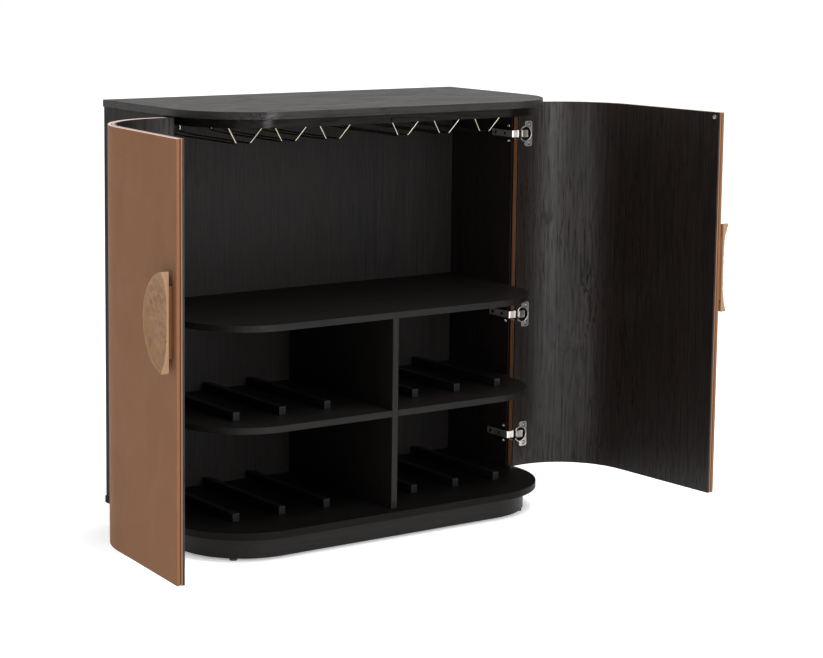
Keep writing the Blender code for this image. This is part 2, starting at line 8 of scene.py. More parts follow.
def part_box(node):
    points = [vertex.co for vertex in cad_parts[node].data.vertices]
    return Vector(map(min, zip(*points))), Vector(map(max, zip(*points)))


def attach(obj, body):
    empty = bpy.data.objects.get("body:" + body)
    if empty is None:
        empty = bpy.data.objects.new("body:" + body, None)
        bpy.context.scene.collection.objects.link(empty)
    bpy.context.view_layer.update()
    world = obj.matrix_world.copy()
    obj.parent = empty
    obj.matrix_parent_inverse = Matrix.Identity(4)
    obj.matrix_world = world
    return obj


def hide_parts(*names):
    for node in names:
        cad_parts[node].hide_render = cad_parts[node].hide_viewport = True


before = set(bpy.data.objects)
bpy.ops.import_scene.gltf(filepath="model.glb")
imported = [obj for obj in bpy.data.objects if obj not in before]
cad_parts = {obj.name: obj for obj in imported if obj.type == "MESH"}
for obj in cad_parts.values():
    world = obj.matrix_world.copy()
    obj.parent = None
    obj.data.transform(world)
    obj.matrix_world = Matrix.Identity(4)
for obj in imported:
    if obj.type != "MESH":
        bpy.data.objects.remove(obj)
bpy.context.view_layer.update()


# Foot
# A ring of dark stained oak boards under the base slab, stiffened by a brace across its middle.
# Five black plastic glides are tacked to its underside and lift it 5 mm off the floor.

PLINTH_CORNER = 0.164
PLINTH_BOARD = 0.018
BOARD_EDGE = 0.0006
CORNER_STEPS = 32
X, Z = 0, 2
# The cosine past which a face counts as looking a given way
SQUARE_ON = 0.9


def close():
    """Leaves edit mode, with nothing selected."""
    if bpy.context.mode != "OBJECT":
        bpy.ops.object.mode_set(mode="OBJECT")
    bpy.ops.object.select_all(action="DESELECT")


def choose(obj):
    """Makes one piece active, and the only one selected."""
    close()
    bpy.context.view_layer.objects.active = obj
    obj.select_set(True)


def edit(obj):
    """Opens a piece in edit mode with nothing selected."""
    choose(obj)
    bpy.ops.object.mode_set(mode="EDIT")
    bpy.ops.mesh.select_all(action="DESELECT")


def started(name):
    """Names the primitive just added, puts its place in its mesh and opens it."""
    obj = bpy.context.object
    obj.name = obj.data.name = name
    bpy.ops.object.transform_apply(location=True, rotation=True, scale=True)
    edit(obj)
    return obj


def block(name, low, high):
    """A block between two corners, open in edit mode."""
    close()
    middle = [(a + b) / 2 for a, b in zip(low, high)]
    size = [abs(b - a) for a, b in zip(low, high)]
    bpy.ops.mesh.primitive_cube_add(size=1, location=middle, scale=size)
    return started(name)


def rod(name, start, end, radius, sides=32):
    """A cylinder from one point to another, open in edit mode."""
    close()
    line = Vector(end) - Vector(start)
    turn = line.to_track_quat("Z", "Y").to_euler()
    middle = (Vector(start) + Vector(end)) / 2
    bpy.ops.mesh.primitive_cylinder_add(
        vertices=sides, radius=radius, depth=line.length, location=middle, rotation=turn
    )
    return started(name)


def pick_faces(test):
    """Selects the faces whose centre and normal pass a test, and nothing else."""
    bpy.ops.mesh.select_mode(type="FACE")
    bpy.ops.mesh.select_all(action="DESELECT")
    mesh = bpy.context.object.data
    shape = bmesh.from_edit_mesh(mesh)
    for face in shape.faces:
        face.select_set(bool(test(face.calc_center_median(), face.normal)))
    bmesh.update_edit_mesh(mesh)


def pick_edges(test):
    """Selects the edges whose two ends pass a test, and nothing else."""
    bpy.ops.mesh.select_mode(type="EDGE")
    bpy.ops.mesh.select_all(action="DESELECT")
    mesh = bpy.context.object.data
    shape = bmesh.from_edit_mesh(mesh)
    for edge in shape.edges:
        edge.select_set(bool(test(edge.verts[0].co, edge.verts[1].co)))
    bmesh.update_edit_mesh(mesh)


def looking(*way):
    """A test for faces that look a given way."""
    return lambda centre, normal: normal.dot(Vector(way)) > SQUARE_ON


def recess(test, border, move):
    """Insets the faces that pass a test, and moves them."""
    pick_faces(test)
    bpy.ops.mesh.inset(thickness=border)
    bpy.ops.transform.translate(value=move)


def pierce(axis, wall):
    """Opens a piece right through along an axis, and leaves a wall round the hole."""
    pick_faces(lambda centre, normal: abs(normal[axis]) > SQUARE_ON)
    bpy.ops.mesh.inset(thickness=wall)
    bpy.ops.mesh.bridge_edge_loops()


def near(a, b):
    """Whether two places agree to a hundredth of a millimetre."""
    return abs(a - b) < 1e-5


def round_front_corners(radius, y, x):
    """Rounds the two upright front edges of an open board."""
    pick_edges(lambda a, b: near(a.x, b.x) and all(near(p.y, y) and near(abs(p.x), x) for p in (a, b)))
    bpy.ops.mesh.bevel(offset=radius, segments=CORNER_STEPS, affect="EDGES")


def extrude(move):
    """Extrudes what is selected by a vector."""
    bpy.ops.mesh.extrude_region_move(TRANSFORM_OT_translate={"value": move})


def ease(obj, width, steps=2):
    """Closes a piece and rounds every sharp edge of it a little."""
    choose(obj)
    bpy.ops.object.modifier_add(type="BEVEL")
    bevel = obj.modifiers[-1]
    bevel.width = width
    bevel.segments = steps
    bevel.limit_method = "ANGLE"
    bevel.angle_limit = math.radians(40)
    bevel.miter_outer = "MITER_ARC"
    bpy.ops.object.modifier_apply(modifier=bevel.name)


def settle(obj, material, body="carcass", nodes=(), smooth=40):
    """Finishes a piece: shading, material, and its place among the CAD bodies and nodes."""
    choose(obj)
    bpy.ops.object.shade_smooth_by_angle(angle=math.radians(smooth))
    bpy.ops.object.modifier_add(type="WEIGHTED_NORMAL")
    weighted = obj.modifiers[-1]
    weighted.keep_sharp = True
    bpy.ops.object.modifier_apply(modifier=weighted.name)
    obj.data.materials.clear()
    obj.data.materials.append(material)
    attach(obj, body)
    if nodes:
        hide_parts(*([nodes] if isinstance(nodes, str) else nodes))


def copied(obj, name, move=(0, 0, 0)):
    """A copy of a finished mesh, moved, that is a piece of its own."""
    choose(obj)
    bpy.ops.object.duplicate(linked=False)
    twin = bpy.context.object
    twin.name = twin.data.name = name
    bpy.ops.transform.translate(value=move)
    bpy.ops.object.transform_apply(location=True, rotation=True, scale=True)
    return twin


def node(tree, kind, inputs=(), **settings):
    """A shader node with its settings and inputs, each a value or another node's output."""
    made = tree.nodes.new(kind)
    for key, value in settings.items():
        setattr(made, key, value)
    for key, value in dict(inputs).items():
        if isinstance(value, bpy.types.NodeSocket):
            tree.links.new(value, made.inputs[key])
        else:
            made.inputs[key].default_value = value
    return made


def maths(tree, operation, a, b=0.5, c=0.5, clamp=False):
    """The output of a Math node."""
    made = node(tree, "ShaderNodeMath", {0: a, 1: b, 2: c}, operation=operation, use_clamp=clamp)
    return made.outputs[0]


def vectors(tree, operation, inputs):
    """The outputs of a Vector Math node."""
    return node(tree, "ShaderNodeVectorMath", inputs, operation=operation).outputs


def mixed(tree, share, a, b):
    """Two colours, each plain or a node's output, mixed by a share."""
    a, b = (c if isinstance(c, bpy.types.NodeSocket) else (*c, 1) for c in (a, b))
    return node(tree, "ShaderNodeMix", {0: share, 6: a, 7: b}, data_type="RGBA").outputs[2]


def ranged(tree, value, low, high, to_low=0.0, to_high=1.0):
    """A value spread from one range to another, and held inside it."""
    spread = {"Value": value, "From Min": low, "From Max": high, "To Min": to_low, "To Max": to_high}
    return node(tree, "ShaderNodeMapRange", spread).outputs[0]


def noise(tree, place, stretch, scale, detail=2.0, roughness=0.5, distortion=0.0):
    """Noise on a place that is stretched along its axes."""
    spread = vectors(tree, "MULTIPLY", {0: place, 1: stretch})[0]
    inputs = {"Vector": spread, "Scale": scale, "Detail": detail}
    inputs.update({"Roughness": roughness, "Distortion": distortion})
    return node(tree, "ShaderNodeTexNoise", inputs).outputs["Fac"]


def along(tree, place, turn):
    """The place on the piece, turned so that a pattern runs along another axis."""
    return node(tree, "ShaderNodeMapping", {"Vector": place, "Rotation": turn}).outputs[0]


def flatness(tree, place, low, high, to_low=0.0, to_high=1.0):
    """How level the surface lies, spread from one range to another."""
    up = node(tree, "ShaderNodeSeparateXYZ", {0: place.node.outputs["Normal"]}).outputs["Z"]
    return ranged(tree, maths(tree, "ABSOLUTE", up), low, high, to_low, to_high)


def effect(name, inputs, outputs):
    """An empty node group with named inputs and outputs, and its two end nodes."""
    tree = bpy.data.node_groups.new(name, "ShaderNodeTree")
    for socket, kind in inputs:
        tree.interface.new_socket(socket, in_out="INPUT", socket_type=kind)
    for socket, kind in outputs:
        tree.interface.new_socket(socket, in_out="OUTPUT", socket_type=kind)
    return tree, tree.nodes.new("NodeGroupInput").outputs, tree.nodes.new("NodeGroupOutput").inputs


def placed(tree, group, inputs):
    """A node group placed in a material with its own values."""
    return node(tree, "ShaderNodeGroup", inputs, node_tree=group).outputs


def blank(name, **values):
    """A material, its Principled shader with fixed values, and the place on the piece."""
    material = bpy.data.materials.new(name)
    material.use_nodes = True
    tree = material.node_tree
    shader = tree.nodes["Principled BSDF"]
    for key, value in values.items():
        shader.inputs[key.replace("_", " ")].default_value = value
    place = node(tree, "ShaderNodeTexCoord").outputs["Object"]
    return material, tree, shader.inputs, place


def bumped(tree, shader, height, distance):
    """Feeds a height to a shader's normal."""
    bump = node(tree, "ShaderNodeBump", {"Height": height, "Distance": distance, "Strength": 1.0})
    tree.links.new(bump.outputs[0], shader["Normal"])


# Grain of sawn oak along the place's Z axis: growth rings round a far pith, open pores that
# crowd each ring's early wood, fine streaks, and thin cracks that wander along the grain
SWERVE = (0.058, 0.058, 0)
PITH = (0.37, 0.29, 0.06)
EARLY_WOOD = 0.55
CRACK_CORE, CRACK_EDGE = 0.004, 0.040
number, vector = "NodeSocketFloat", "NodeSocketVector"
grain, given, made = effect(
    "wood_grain",
    [("Place", vector), ("Rings", number), ("Streak Scale", number)],
    [("Figure", number), ("Streaks", number), ("Pores", number), ("Cracks", number), ("Clouds", number)],
)
wander = noise(grain, given["Place"], (1, 1, 0.35), 4.5, 3, 0.5)
sideways = vectors(grain, "SCALE", {0: SWERVE, 3: wander})[0]
bent = vectors(grain, "ADD", {0: given["Place"], 1: sideways})[0]
level = vectors(grain, "MULTIPLY", {0: bent, 1: (1, 1, 0.10)})[0]
from_pith = vectors(grain, "DISTANCE", {0: level, 1: PITH})["Value"]
year = maths(grain, "MULTIPLY", from_pith, given["Rings"])
early = ranged(grain, maths(grain, "FRACT", year), 0.0, EARLY_WOOD, 1.0, 0.0)
grain.links.new(early, made["Figure"])
streaks = noise(grain, bent, (1, 1, 0.018), 1.0, 5, 0.62)
grain.links.new(given["Streak Scale"], streaks.node.inputs["Scale"])
grain.links.new(ranged(grain, streaks, 0.32, 0.68), made["Streaks"])
pores = ranged(grain, noise(grain, bent, (1, 1, 0.030), 430, 3, 0.55), 0.50, 0.66)
crowd = maths(grain, "MULTIPLY_ADD", early, 0.75, 0.25)
grain.links.new(maths(grain, "MULTIPLY", pores, crowd), made["Pores"])
veins = maths(grain, "SUBTRACT", noise(grain, bent, (1, 1, 0.055), 95, 2, 0.5), 0.5)
lines = ranged(grain, maths(grain, "ABSOLUTE", veins), CRACK_CORE, CRACK_EDGE, 1.0, 0.0)
clouds = ranged(grain, noise(grain, given["Place"], (1, 1, 0.45), 7.0, 3, 0.55), 0.35, 0.65)
grain.links.new(clouds, made["Clouds"])
grain.links.new(maths(grain, "MULTIPLY", lines, clouds), made["Cracks"])

ALONG_X = (0, math.radians(90), 0)
ALONG_Y = (math.radians(90), 0, 0)
ALONG_Z = (0, 0, 0)
OAK_RINGS, OAK_STREAKS = 105.0, 210.0
OAK_FIGURE, OAK_CLOUDS = 0.40, 0.45
OAK_WARMTH = (0.95, 0.70, 0.62)
OAK_PORES = (0.0012, 0.0010, 0.0009)
FILM_IN_PORES = 0.06
EDGE_PAINTED_SHADE, EDGE_COVER = 0.4, 0.6
PORE_DEPTH = 0.00042


def dark_oak(
    name, turn, dark=(0.0026, 0.0023, 0.0021), light=(0.0088, 0.0075, 0.0068), gloss=0.42,
    shine=0.14, relief=0.4, spread=0.08, film=0.0, film_gloss=0.25, edges_only=False,
):
    """Stained oak, its grain along the axis that turn gives. It may have a film of lacquer,
    all over or on its edges only; on its edges only, the upright edges are also painted darker
    as painted shade."""
    material, tree, shader, place = blank(name, Specular_IOR_Level=shine, Coat_Roughness=film_gloss)
    spot = along(tree, place, turn)
    marks = placed(tree, grain, {"Place": spot, "Rings": OAK_RINGS, "Streak Scale": OAK_STREAKS})
    body = mixed(tree, marks["Streaks"], dark, light)
    body = mixed(tree, maths(tree, "MULTIPLY", marks["Figure"], OAK_FIGURE), body, dark)
    warm = tuple(c * k for c, k in zip(light, OAK_WARMTH))
    body = mixed(tree, maths(tree, "MULTIPLY", marks["Clouds"], OAK_CLOUDS), body, warm)
    open_grain = maths(tree, "MAXIMUM", marks["Pores"], marks["Cracks"])
    pitted = maths(tree, "MULTIPLY", open_grain, 0.35 + 0.5 * relief)
    body = mixed(tree, pitted, body, OAK_PORES)
    if film:
        # The open grain breaks the film
        cover = maths(tree, "MULTIPLY_ADD", marks["Streaks"], 0.5 * film, 0.75 * film)
        whole = ranged(tree, open_grain, 0, 1, 1.0, FILM_IN_PORES)
        cover = maths(tree, "MULTIPLY", cover, whole)
        if edges_only:
            # The upright edges are painted darker, as painted shade, against the level face
            upright = flatness(tree, place, 0.3, 0.7, 1.0, 0.0)
            cover = maths(tree, "MULTIPLY", cover, upright)
            painted_edge_shade = maths(tree, "MULTIPLY", upright, EDGE_COVER)
            body = mixed(tree, painted_edge_shade, body, tuple(c * EDGE_PAINTED_SHADE for c in dark))
        tree.links.new(cover, shader["Coat Weight"])
    tree.links.new(body, shader["Base Color"])
    rough = ranged(tree, marks["Streaks"], 0, 1, gloss, gloss + spread)
    rough = maths(tree, "MULTIPLY_ADD", open_grain, 0.30 * relief, rough)
    tree.links.new(rough, shader["Roughness"])
    pits = maths(tree, "MULTIPLY", open_grain, -1.0)
    height = maths(tree, "MULTIPLY_ADD", marks["Streaks"], 0.25, pits)
    bumped(tree, shader, height, PORE_DEPTH * relief)
    return material


low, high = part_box("plinth")
plinth = block("plinth_ring", low, high)
round_front_corners(PLINTH_CORNER, low.y, high.x)
pierce(Z, PLINTH_BOARD)
ease(plinth, BOARD_EDGE)
foot_oak = dark_oak("foot_oak", ALONG_X)
settle(plinth, foot_oak, nodes="plinth")

brace = block("plinth_cross_brace", *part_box("plinth_brace"))
ease(brace, BOARD_EDGE)
settle(brace, dark_oak("brace_oak", ALONG_Y), nodes="plinth_brace")


def speckled(name, colours, scale, gloss, relief, detail=4, roughness=0.6, **values):
    """A plain material whose colour, gloss and surface vary with one fine noise."""
    material, tree, shader, place = blank(name, **values)
    specks = noise(tree, place, (1, 1, 1), scale, detail, roughness)
    tree.links.new(mixed(tree, specks, *colours), shader["Base Color"])
    tree.links.new(ranged(tree, specks, 0.3, 0.7, *gloss), shader["Roughness"])
    bumped(tree, shader, specks, relief)
    return material


# Black plastic with a fine matt texture, a little scuffed
GLIDE_BLACKS = ((0.010, 0.010, 0.010), (0.035, 0.034, 0.033))
glide_plastic = speckled(
    "glide_plastic", GLIDE_BLACKS, scale=420, gloss=(0.5, 0.7), relief=0.0001, Specular_IOR_Level=0.35
)

GLIDES = ("front_left", "front_right", "rear_left", "rear_right", "centre")
GLIDE_RIM, GLIDE_SINK, GLIDE_EDGE = 0.0022, 0.0010, 0.0008
spots = {word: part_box(f"glide_{word}") for word in GLIDES}
low, high = spots["front_left"]
middle = (low + high) / 2
pad = rod("glide_pad_front_left", (*middle.xy, low.z), (*middle.xy, high.z), (high.x - low.x) / 2)
recess(looking(0, 0, 1), GLIDE_RIM, (0, 0, -GLIDE_SINK))
ease(pad, GLIDE_EDGE, 3)
pads = {"front_left": pad}
for word in GLIDES[1:]:
    pads[word] = copied(pad, f"glide_pad_{word}", spots[word][0] - low)
for word, piece in pads.items():
    settle(piece, glide_plastic, nodes=f"glide_{word}")


# Base slab and sides
# The base is a dark oak board with its front corners cut round. Two side panels and a thin
# back stand on it, and the back is set in, so that the cabinet's back has an open recess.

SLAB_CORNER = 0.194
SLAB_EDGE = 0.0009

low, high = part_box("base_slab")
base = block("base_board", low, high)
round_front_corners(SLAB_CORNER, low.y, high.x)
ease(base, SLAB_EDGE, 3)
# The base's oak is painted darker than the other oak, as painted shade near the floor and the doors
shaded_base_oak = dark_oak(
    "shaded_base_oak", ALONG_X, dark=(0.0013, 0.0011, 0.0010), light=(0.0044, 0.0037, 0.0033), shine=0.058
)
settle(base, shaded_base_oak, nodes="base_slab")

# The side panels' oak is painted lighter than the other oak, as painted light in the shaded inside
lit_side_oak = dark_oak(
    "lit_side_oak", ALONG_Z, dark=(0.0040, 0.0034, 0.0031), light=(0.0130, 0.0108, 0.0098),
    gloss=0.50, shine=0.11,
)
for side in ("left", "right"):
    panel = block(f"{side}_side_board", *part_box(f"{side}_side_panel"))
    ease(panel, BOARD_EDGE)
    settle(panel, lit_side_oak, nodes=f"{side}_side_panel")

back = block("back_board", *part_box("back_panel"))
ease(back, BOARD_EDGE)
# The back's oak is painted lighter than the other oak, as painted light in the shaded inside
lit_back_oak = dark_oak("lit_back_oak", ALONG_Z, dark=(0.0046, 0.0041, 0.0039), light=(0.0130, 0.0115, 0.0108))
settle(back, lit_back_oak, nodes="back_panel")


# Divider and shelves
# Dark oak boards. Each shelf keeps inside the doors' curve in front and widens to the side
# panels behind it. The lower shelf is in two halves, dadoed to either side of the divider.

low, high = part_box("divider")
divider = block("divider_board", low, high)
ease(divider, BOARD_EDGE)
settle(divider, dark_oak("divider_oak", ALONG_Z), nodes="divider")

LEDGE_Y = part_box("left_side_panel")[0].y
SHELF_STEP = 0.01


def sliced(point, normal, drop=False):
    """Cuts all of an open piece along a plane. It may drop what lies behind and close the cut."""
    bpy.ops.mesh.select_all(action="SELECT")
    bpy.ops.mesh.bisect(plane_co=point, plane_no=normal, use_fill=drop, clear_inner=drop)


def curved_shelf(name, inset, low, high):
    """A shelf of full width: its rear part, with the narrower front drawn out and rounded."""
    wide = max(abs(low.x), high.x)
    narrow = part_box("top_slab")[1].x - inset
    shelf = block(name, (-wide, LEDGE_Y, low.z), (wide, high.y, high.z))
    for x in (-narrow, narrow):
        sliced((x, 0, 0), (1, 0, 0))
    pick_faces(lambda centre, normal: normal.y < -SQUARE_ON and abs(centre.x) < narrow - SHELF_STEP)
    extrude((0, low.y - LEDGE_Y, 0))
    round_front_corners(SLAB_CORNER - inset, low.y, narrow)
    return shelf


# The shelves' oak is painted darker than the other oak, as painted shade inside the cabinet
shaded_shelf_oak = dark_oak("shaded_shelf_oak", ALONG_X, dark=(0.0022, 0.0019, 0.0017), light=(0.0072, 0.0062, 0.0056))
low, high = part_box("middle_shelf")
SHELF_INSET = low.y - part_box("top_slab")[0].y
middle_shelf = curved_shelf("middle_shelf_board", SHELF_INSET, low, high)
ease(middle_shelf, BOARD_EDGE)
settle(middle_shelf, shaded_shelf_oak, nodes="middle_shelf")

for side, sign in (("left", -1), ("right", 1)):
    low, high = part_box(f"lower_shelf_{side}")
    half = curved_shelf(f"lower_shelf_{side}_board", SHELF_INSET, low, high)
    inner = high.x if side == "left" else low.x
    sliced((inner, 0, 0), (sign, 0, 0), drop=True)
    ease(half, BOARD_EDGE)
    settle(half, shaded_shelf_oak, nodes=f"lower_shelf_{side}")


# Sub-top and top
# Two dark oak boards, one glued over the other; the sub-top is painted darker as painted shade
# under the top, and the top's face is painted lighter as painted light. The sub-top carries the
# glass rack and the door catch. The top's face shows the most grain, and its edge has a film of
# lacquer and is painted darker as painted shade.

SEAT_GAP = 0.0003
TOP_EDGE = 0.0011

low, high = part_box("sub_top")
sub_top = curved_shelf("sub_top_board", low.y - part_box("top_slab")[0].y, low, high)
ease(sub_top, SLAB_EDGE, 3)


def cut(obj, *cutters):
    """Takes other shapes out of a piece, and deletes them."""
    choose(obj)
    for cutter in cutters:
        bpy.ops.object.modifier_add(type="BOOLEAN")
        boolean = obj.modifiers[-1]
        boolean.operation = "DIFFERENCE"
        boolean.solver = "EXACT"
        boolean.object = cutter
        bpy.ops.object.modifier_apply(modifier=boolean.name)
    for cutter in cutters:
        bpy.data.objects.remove(cutter)


low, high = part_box("magnet_catch")
spare = Vector([SEAT_GAP] * 3)
seat = block("seat", low - spare, high + spare)
cut(sub_top, seat)
# The sub-top's oak is painted darker than the other oak, as painted shade under the top's overhang
shaded_sub_top_oak = dark_oak(
    "shaded_sub_top_oak", ALONG_X, dark=(0.0019, 0.0016, 0.0015), light=(0.0062, 0.0053, 0.0048),
    gloss=0.30, shine=0.03, relief=0.12, film=0.20, film_gloss=0.18,
)
settle(sub_top, shaded_sub_top_oak, nodes="sub_top")

low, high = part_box("top_slab")
top = block("top_board", low, high)
round_front_corners(SLAB_CORNER, low.y, high.x)
ease(top, TOP_EDGE, 3)
# The top's oak is painted lighter than the other oak, as painted light on its level face; its edges are
# painted darker again as painted shade
lit_top_oak = dark_oak(
    "lit_top_oak", ALONG_X, dark=(0.0075, 0.0068, 0.0064), light=(0.0250, 0.0227, 0.0214),
    gloss=0.41, shine=0.180, relief=0.80, spread=0.22, film=0.20, film_gloss=0.18, edges_only=True,
)
settle(top, lit_top_oak, nodes="top_slab")


# Bottle rests
# Twelve square bars of black-lacquered wood, three in each compartment, glued to the boards
# so that bottles lie between them. One bar is made and copied.

BAR_EDGE = 0.0012
BAR_BLACKS = ((0.0026, 0.0026, 0.0027), (0.0062, 0.0060, 0.0058))
BAR_RINGS, BAR_STREAKS = 210.0, 330.0
LEVELS = ("low", "high")
BARS_AT_A_LEVEL = 6

low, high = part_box("bottle_rest_low_1")
bar = block("bottle_bar_low_1", low, high)
ease(bar, BAR_EDGE, 3)
bars = {"low_1": bar}
for level in LEVELS:
    for count in range(1, BARS_AT_A_LEVEL + 1):
        word = f"{level}_{count}"
        if word not in bars:
            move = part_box(f"bottle_rest_{word}")[0] - low
            bars[word] = copied(bar, f"bottle_bar_{word}", move)

bar_lacquer, tree, shader, place = blank("bar_lacquer", Coat_Weight=0.10, Specular_IOR_Level=0.22)
spot = along(tree, place, ALONG_Y)
marks = placed(tree, grain, {"Place": spot, "Rings": BAR_RINGS, "Streak Scale": BAR_STREAKS})
tree.links.new(mixed(tree, marks["Streaks"], *BAR_BLACKS), shader["Base Color"])
tree.links.new(ranged(tree, marks["Figure"], 0, 1, 0.34, 0.48), shader["Roughness"])
bumped(tree, shader, marks["Streaks"], 0.00006)
for word, piece in bars.items():
    settle(piece, bar_lacquer, nodes=f"bottle_rest_{word}")


# Stemware rack
# Eight bent brass wires under the sub-top. Glass feet slide along the level rails, the stems
# hang between them, and the slanting fronts of the wires keep the feet from sliding out.

WIRE = 0.002
WIRE_BEND = 0.0046
WIRE_SPLAY = 0.0295
WIRE_LEAN = 0.011
WIRE_RISE, WIRE_RISE_RUN = 0.003, 0.085
WIRES = range(1, 9)
# A wire at the end of either half has one rail, and the others have two
LEFT_END_WIRES, RIGHT_END_WIRES = (1, 5), (4, 8)
BRASS, DULL_BRASS = (0.40, 0.38, 0.29), (0.25, 0.22, 0.13)

brushing, given, made = effect(
    "brushed_metal",
    [("Place", vector), ("Streak Scale", number)],
    [("Streaks", number), ("Clouding", number)],
)
lines = noise(brushing, given["Place"], (1, 1, 0.012), 1.0, 3, 0.55)
brushing.links.new(given["Streak Scale"], lines.node.inputs["Scale"])
brushing.links.new(ranged(brushing, lines, 0.3, 0.7), made["Streaks"])
clouds = noise(brushing, given["Place"], (1, 1, 1), 38, 4, 0.6)
brushing.links.new(ranged(brushing, clouds, 0.35, 0.70), made["Clouding"])
BRUSH_STREAKS = 900.0


def metal(name, turn, clean, dull, rough):
    """Brushed metal with soft clouding, brushed along the axis that turn gives."""
    material, tree, shader, place = blank(name, Metallic=1.0)
    spot = along(tree, place, turn)
    marks = placed(tree, brushing, {"Place": spot, "Streak Scale": BRUSH_STREAKS})
    tint = mixed(tree, maths(tree, "MULTIPLY", marks["Clouding"], 0.6), clean, dull)
    tree.links.new(tint, shader["Base Color"])
    lines = ranged(tree, marks["Streaks"], 0, 1, -0.05, 0.07)
    clouds = ranged(tree, marks["Clouding"], 0, 1, rough, rough + 0.10)
    tree.links.new(maths(tree, "ADD", clouds, lines), shader["Roughness"])
    bumped(tree, shader, marks["Streaks"], 0.00002)
    return material


brass = metal("rack_brass", ALONG_Y, BRASS, DULL_BRASS, rough=0.14)


def drawn(name, corners):
    """A line through some corners, open in edit mode."""
    close()
    bpy.ops.mesh.primitive_plane_add(size=1)
    shape = started(name)
    mesh = bmesh.from_edit_mesh(shape.data)
    bmesh.ops.delete(mesh, geom=mesh.verts[:], context="VERTS")
    line = [mesh.verts.new(corner) for corner in corners]
    for a, b in zip(line, line[1:]):
        mesh.edges.new((a, b))
    bmesh.update_edit_mesh(shape.data)
    bpy.ops.mesh.select_all(action="SELECT")
    return shape


def bent_wire(name, corners):
    """A round brass wire, bent at each of its corners."""
    wire = drawn(name, corners)
    bpy.ops.mesh.bevel(offset=WIRE_BEND, segments=8, affect="VERTICES")
    bpy.ops.object.mode_set(mode="OBJECT")
    bpy.ops.object.convert(target="CURVE")
    wire.data.bevel_depth = WIRE
    wire.data.bevel_resolution = 6
    wire.data.use_fill_caps = True
    bpy.ops.object.convert(target="MESH")
    return wire


def rack_leg(x, splay, low, high):
    """Corners of a wire's leg: down its slanting front, back along its rail, and up again."""
    front, rear = low.y + WIRE, high.y - WIRE
    top, rail = high.z - WIRE, low.z + WIRE
    return [
        (x - splay, front, top),
        (x, front + WIRE_LEAN, rail),
        (x, rear - WIRE_RISE_RUN, rail),
        (x, rear, rail + WIRE_RISE),
        (x, rear, high.z),
    ]


for count in WIRES:
    low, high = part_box(f"rack_wire_{count}")
    left = rack_leg(low.x + WIRE, -WIRE_SPLAY, low, high)
    right = rack_leg(high.x - WIRE, WIRE_SPLAY, low, high)
    if count in LEFT_END_WIRES:
        corners = [(low.x, *left[0][1:])] + right
    elif count in RIGHT_END_WIRES:
        corners = [(high.x, *right[0][1:])] + left
    else:
        corners = left[::-1] + right
    wire = bent_wire(f"rack_bent_wire_{count}", corners)
    settle(wire, brass, nodes=f"rack_wire_{count}", smooth=60)


# Door catch
# A double magnet in a black plastic housing, let into the sub-top's front edge. Its two round
# magnets meet the studs on the doors.

CATCH_BLACKS = ((0.003, 0.003, 0.003), (0.006, 0.006, 0.006))
CATCH_EDGE = 0.0008
MAGNET_X, MAGNET_RADIUS = 0.014, 0.0042
MAGNET_DEPTH, MAGNET_PROUD = 0.003, 0.0001
MAGNET_RIM, MAGNET_SINK, MAGNET_EDGE = 0.0012, 0.0002, 0.0001

low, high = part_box("magnet_catch")
catch = block("catch_housing", low, high)
ease(catch, CATCH_EDGE, 3)
housing = speckled(
    "catch_plastic", CATCH_BLACKS, scale=600, gloss=(0.38, 0.55), relief=0.00005,
    detail=3, roughness=0.5, Specular_IOR_Level=0.08,
)
settle(catch, housing, nodes="magnet_catch")

for side, x in (("left", -MAGNET_X), ("right", MAGNET_X)):
    centre_z = (low.z + high.z) / 2
    start, end = (x, low.y + MAGNET_DEPTH, centre_z), (x, low.y - MAGNET_PROUD, centre_z)
    magnet = rod(f"{side}_magnet", start, end, MAGNET_RADIUS, 24)
    recess(looking(0, -1, 0), MAGNET_RIM, (0, MAGNET_SINK, 0))
    ease(magnet, MAGNET_EDGE, 1)
    settle(magnet, housing)


# Hinge arms
# The cabinet half of each concealed hinge: a pressed steel arm on a riser and a winged plate,
# screwed to the side panel. The arm is bright nickel; the riser, the plate and the smaller screws
# are painted near black, as painted shade inside the cabinet. Each is made for the right side,
# copied to its three heights, and mirrored for the left.

HINGE_LEVELS = ("low", "middle", "high")
PIVOT_X, PIVOT_Y = 0.492, -0.040
PANEL_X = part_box("right_side_panel")[0].x
MOUNT_FACE = PANEL_X - 0.0023
ARM_LOW, ARM_HIGH = (0.472, -0.044, -0.0082), (0.475, 0.036, 0.0082)
ARM_FACE = 0.4727
ARM_LIP, ARM_SINK = 0.0022, 0.0007
NOSE_Y, NOSE_REACH, NOSE_ROUND = -0.041, 0.0152, 0.0028
BARREL_HALF, BARREL_RADIUS, BARREL_WALL = 0.0092, 0.0032, 0.0014
RISER_X, RISER_HALF, RISER_EDGE = 0.4735, 0.0065, 0.0006
RISER_FRONT, RISER_REAR, RISER_OVERLAP = -0.023, 0.033, 0.001
PLATE_FRONT, PLATE_REAR, PLATE_HALF, PLATE_GAP = -0.026, 0.020, 0.009, 0.0003
WING_Y, WING_REACH, WING_TAPER, WING_ROUND = -0.012, 0.015, 0.72, 0.0035
STEEL_EDGE, FINE_EDGE, SCREW_EDGE = 0.0004, 0.0003, 0.0001
HEAD_ROUND = 0.45
CROSS_REACH, CROSS_WIDTH, CROSS_DEPTH = 0.62, 0.13, 0.5
NICKEL, DULL_NICKEL = (0.90, 0.86, 0.83), (0.76, 0.72, 0.69)
PAINTED_SHADE_STEEL, DULL_PAINTED_SHADE_STEEL = (0.032, 0.030, 0.029), (0.018, 0.017, 0.016)
SCREW, DULL_SCREW = (0.90, 0.88, 0.85), (0.70, 0.68, 0.66)


def height_of(level):
    """The height of a hinge's middle."""
    low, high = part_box(f"right_hinge_arm_{level}")
    return (low.z + high.z) / 2


def joined(name, *shapes):
    """Several shapes in one piece."""
    choose(shapes[0])
    for shape in shapes:
        shape.select_set(True)
    bpy.ops.object.join()
    shapes[0].name = shapes[0].data.name = name
    return shapes[0]


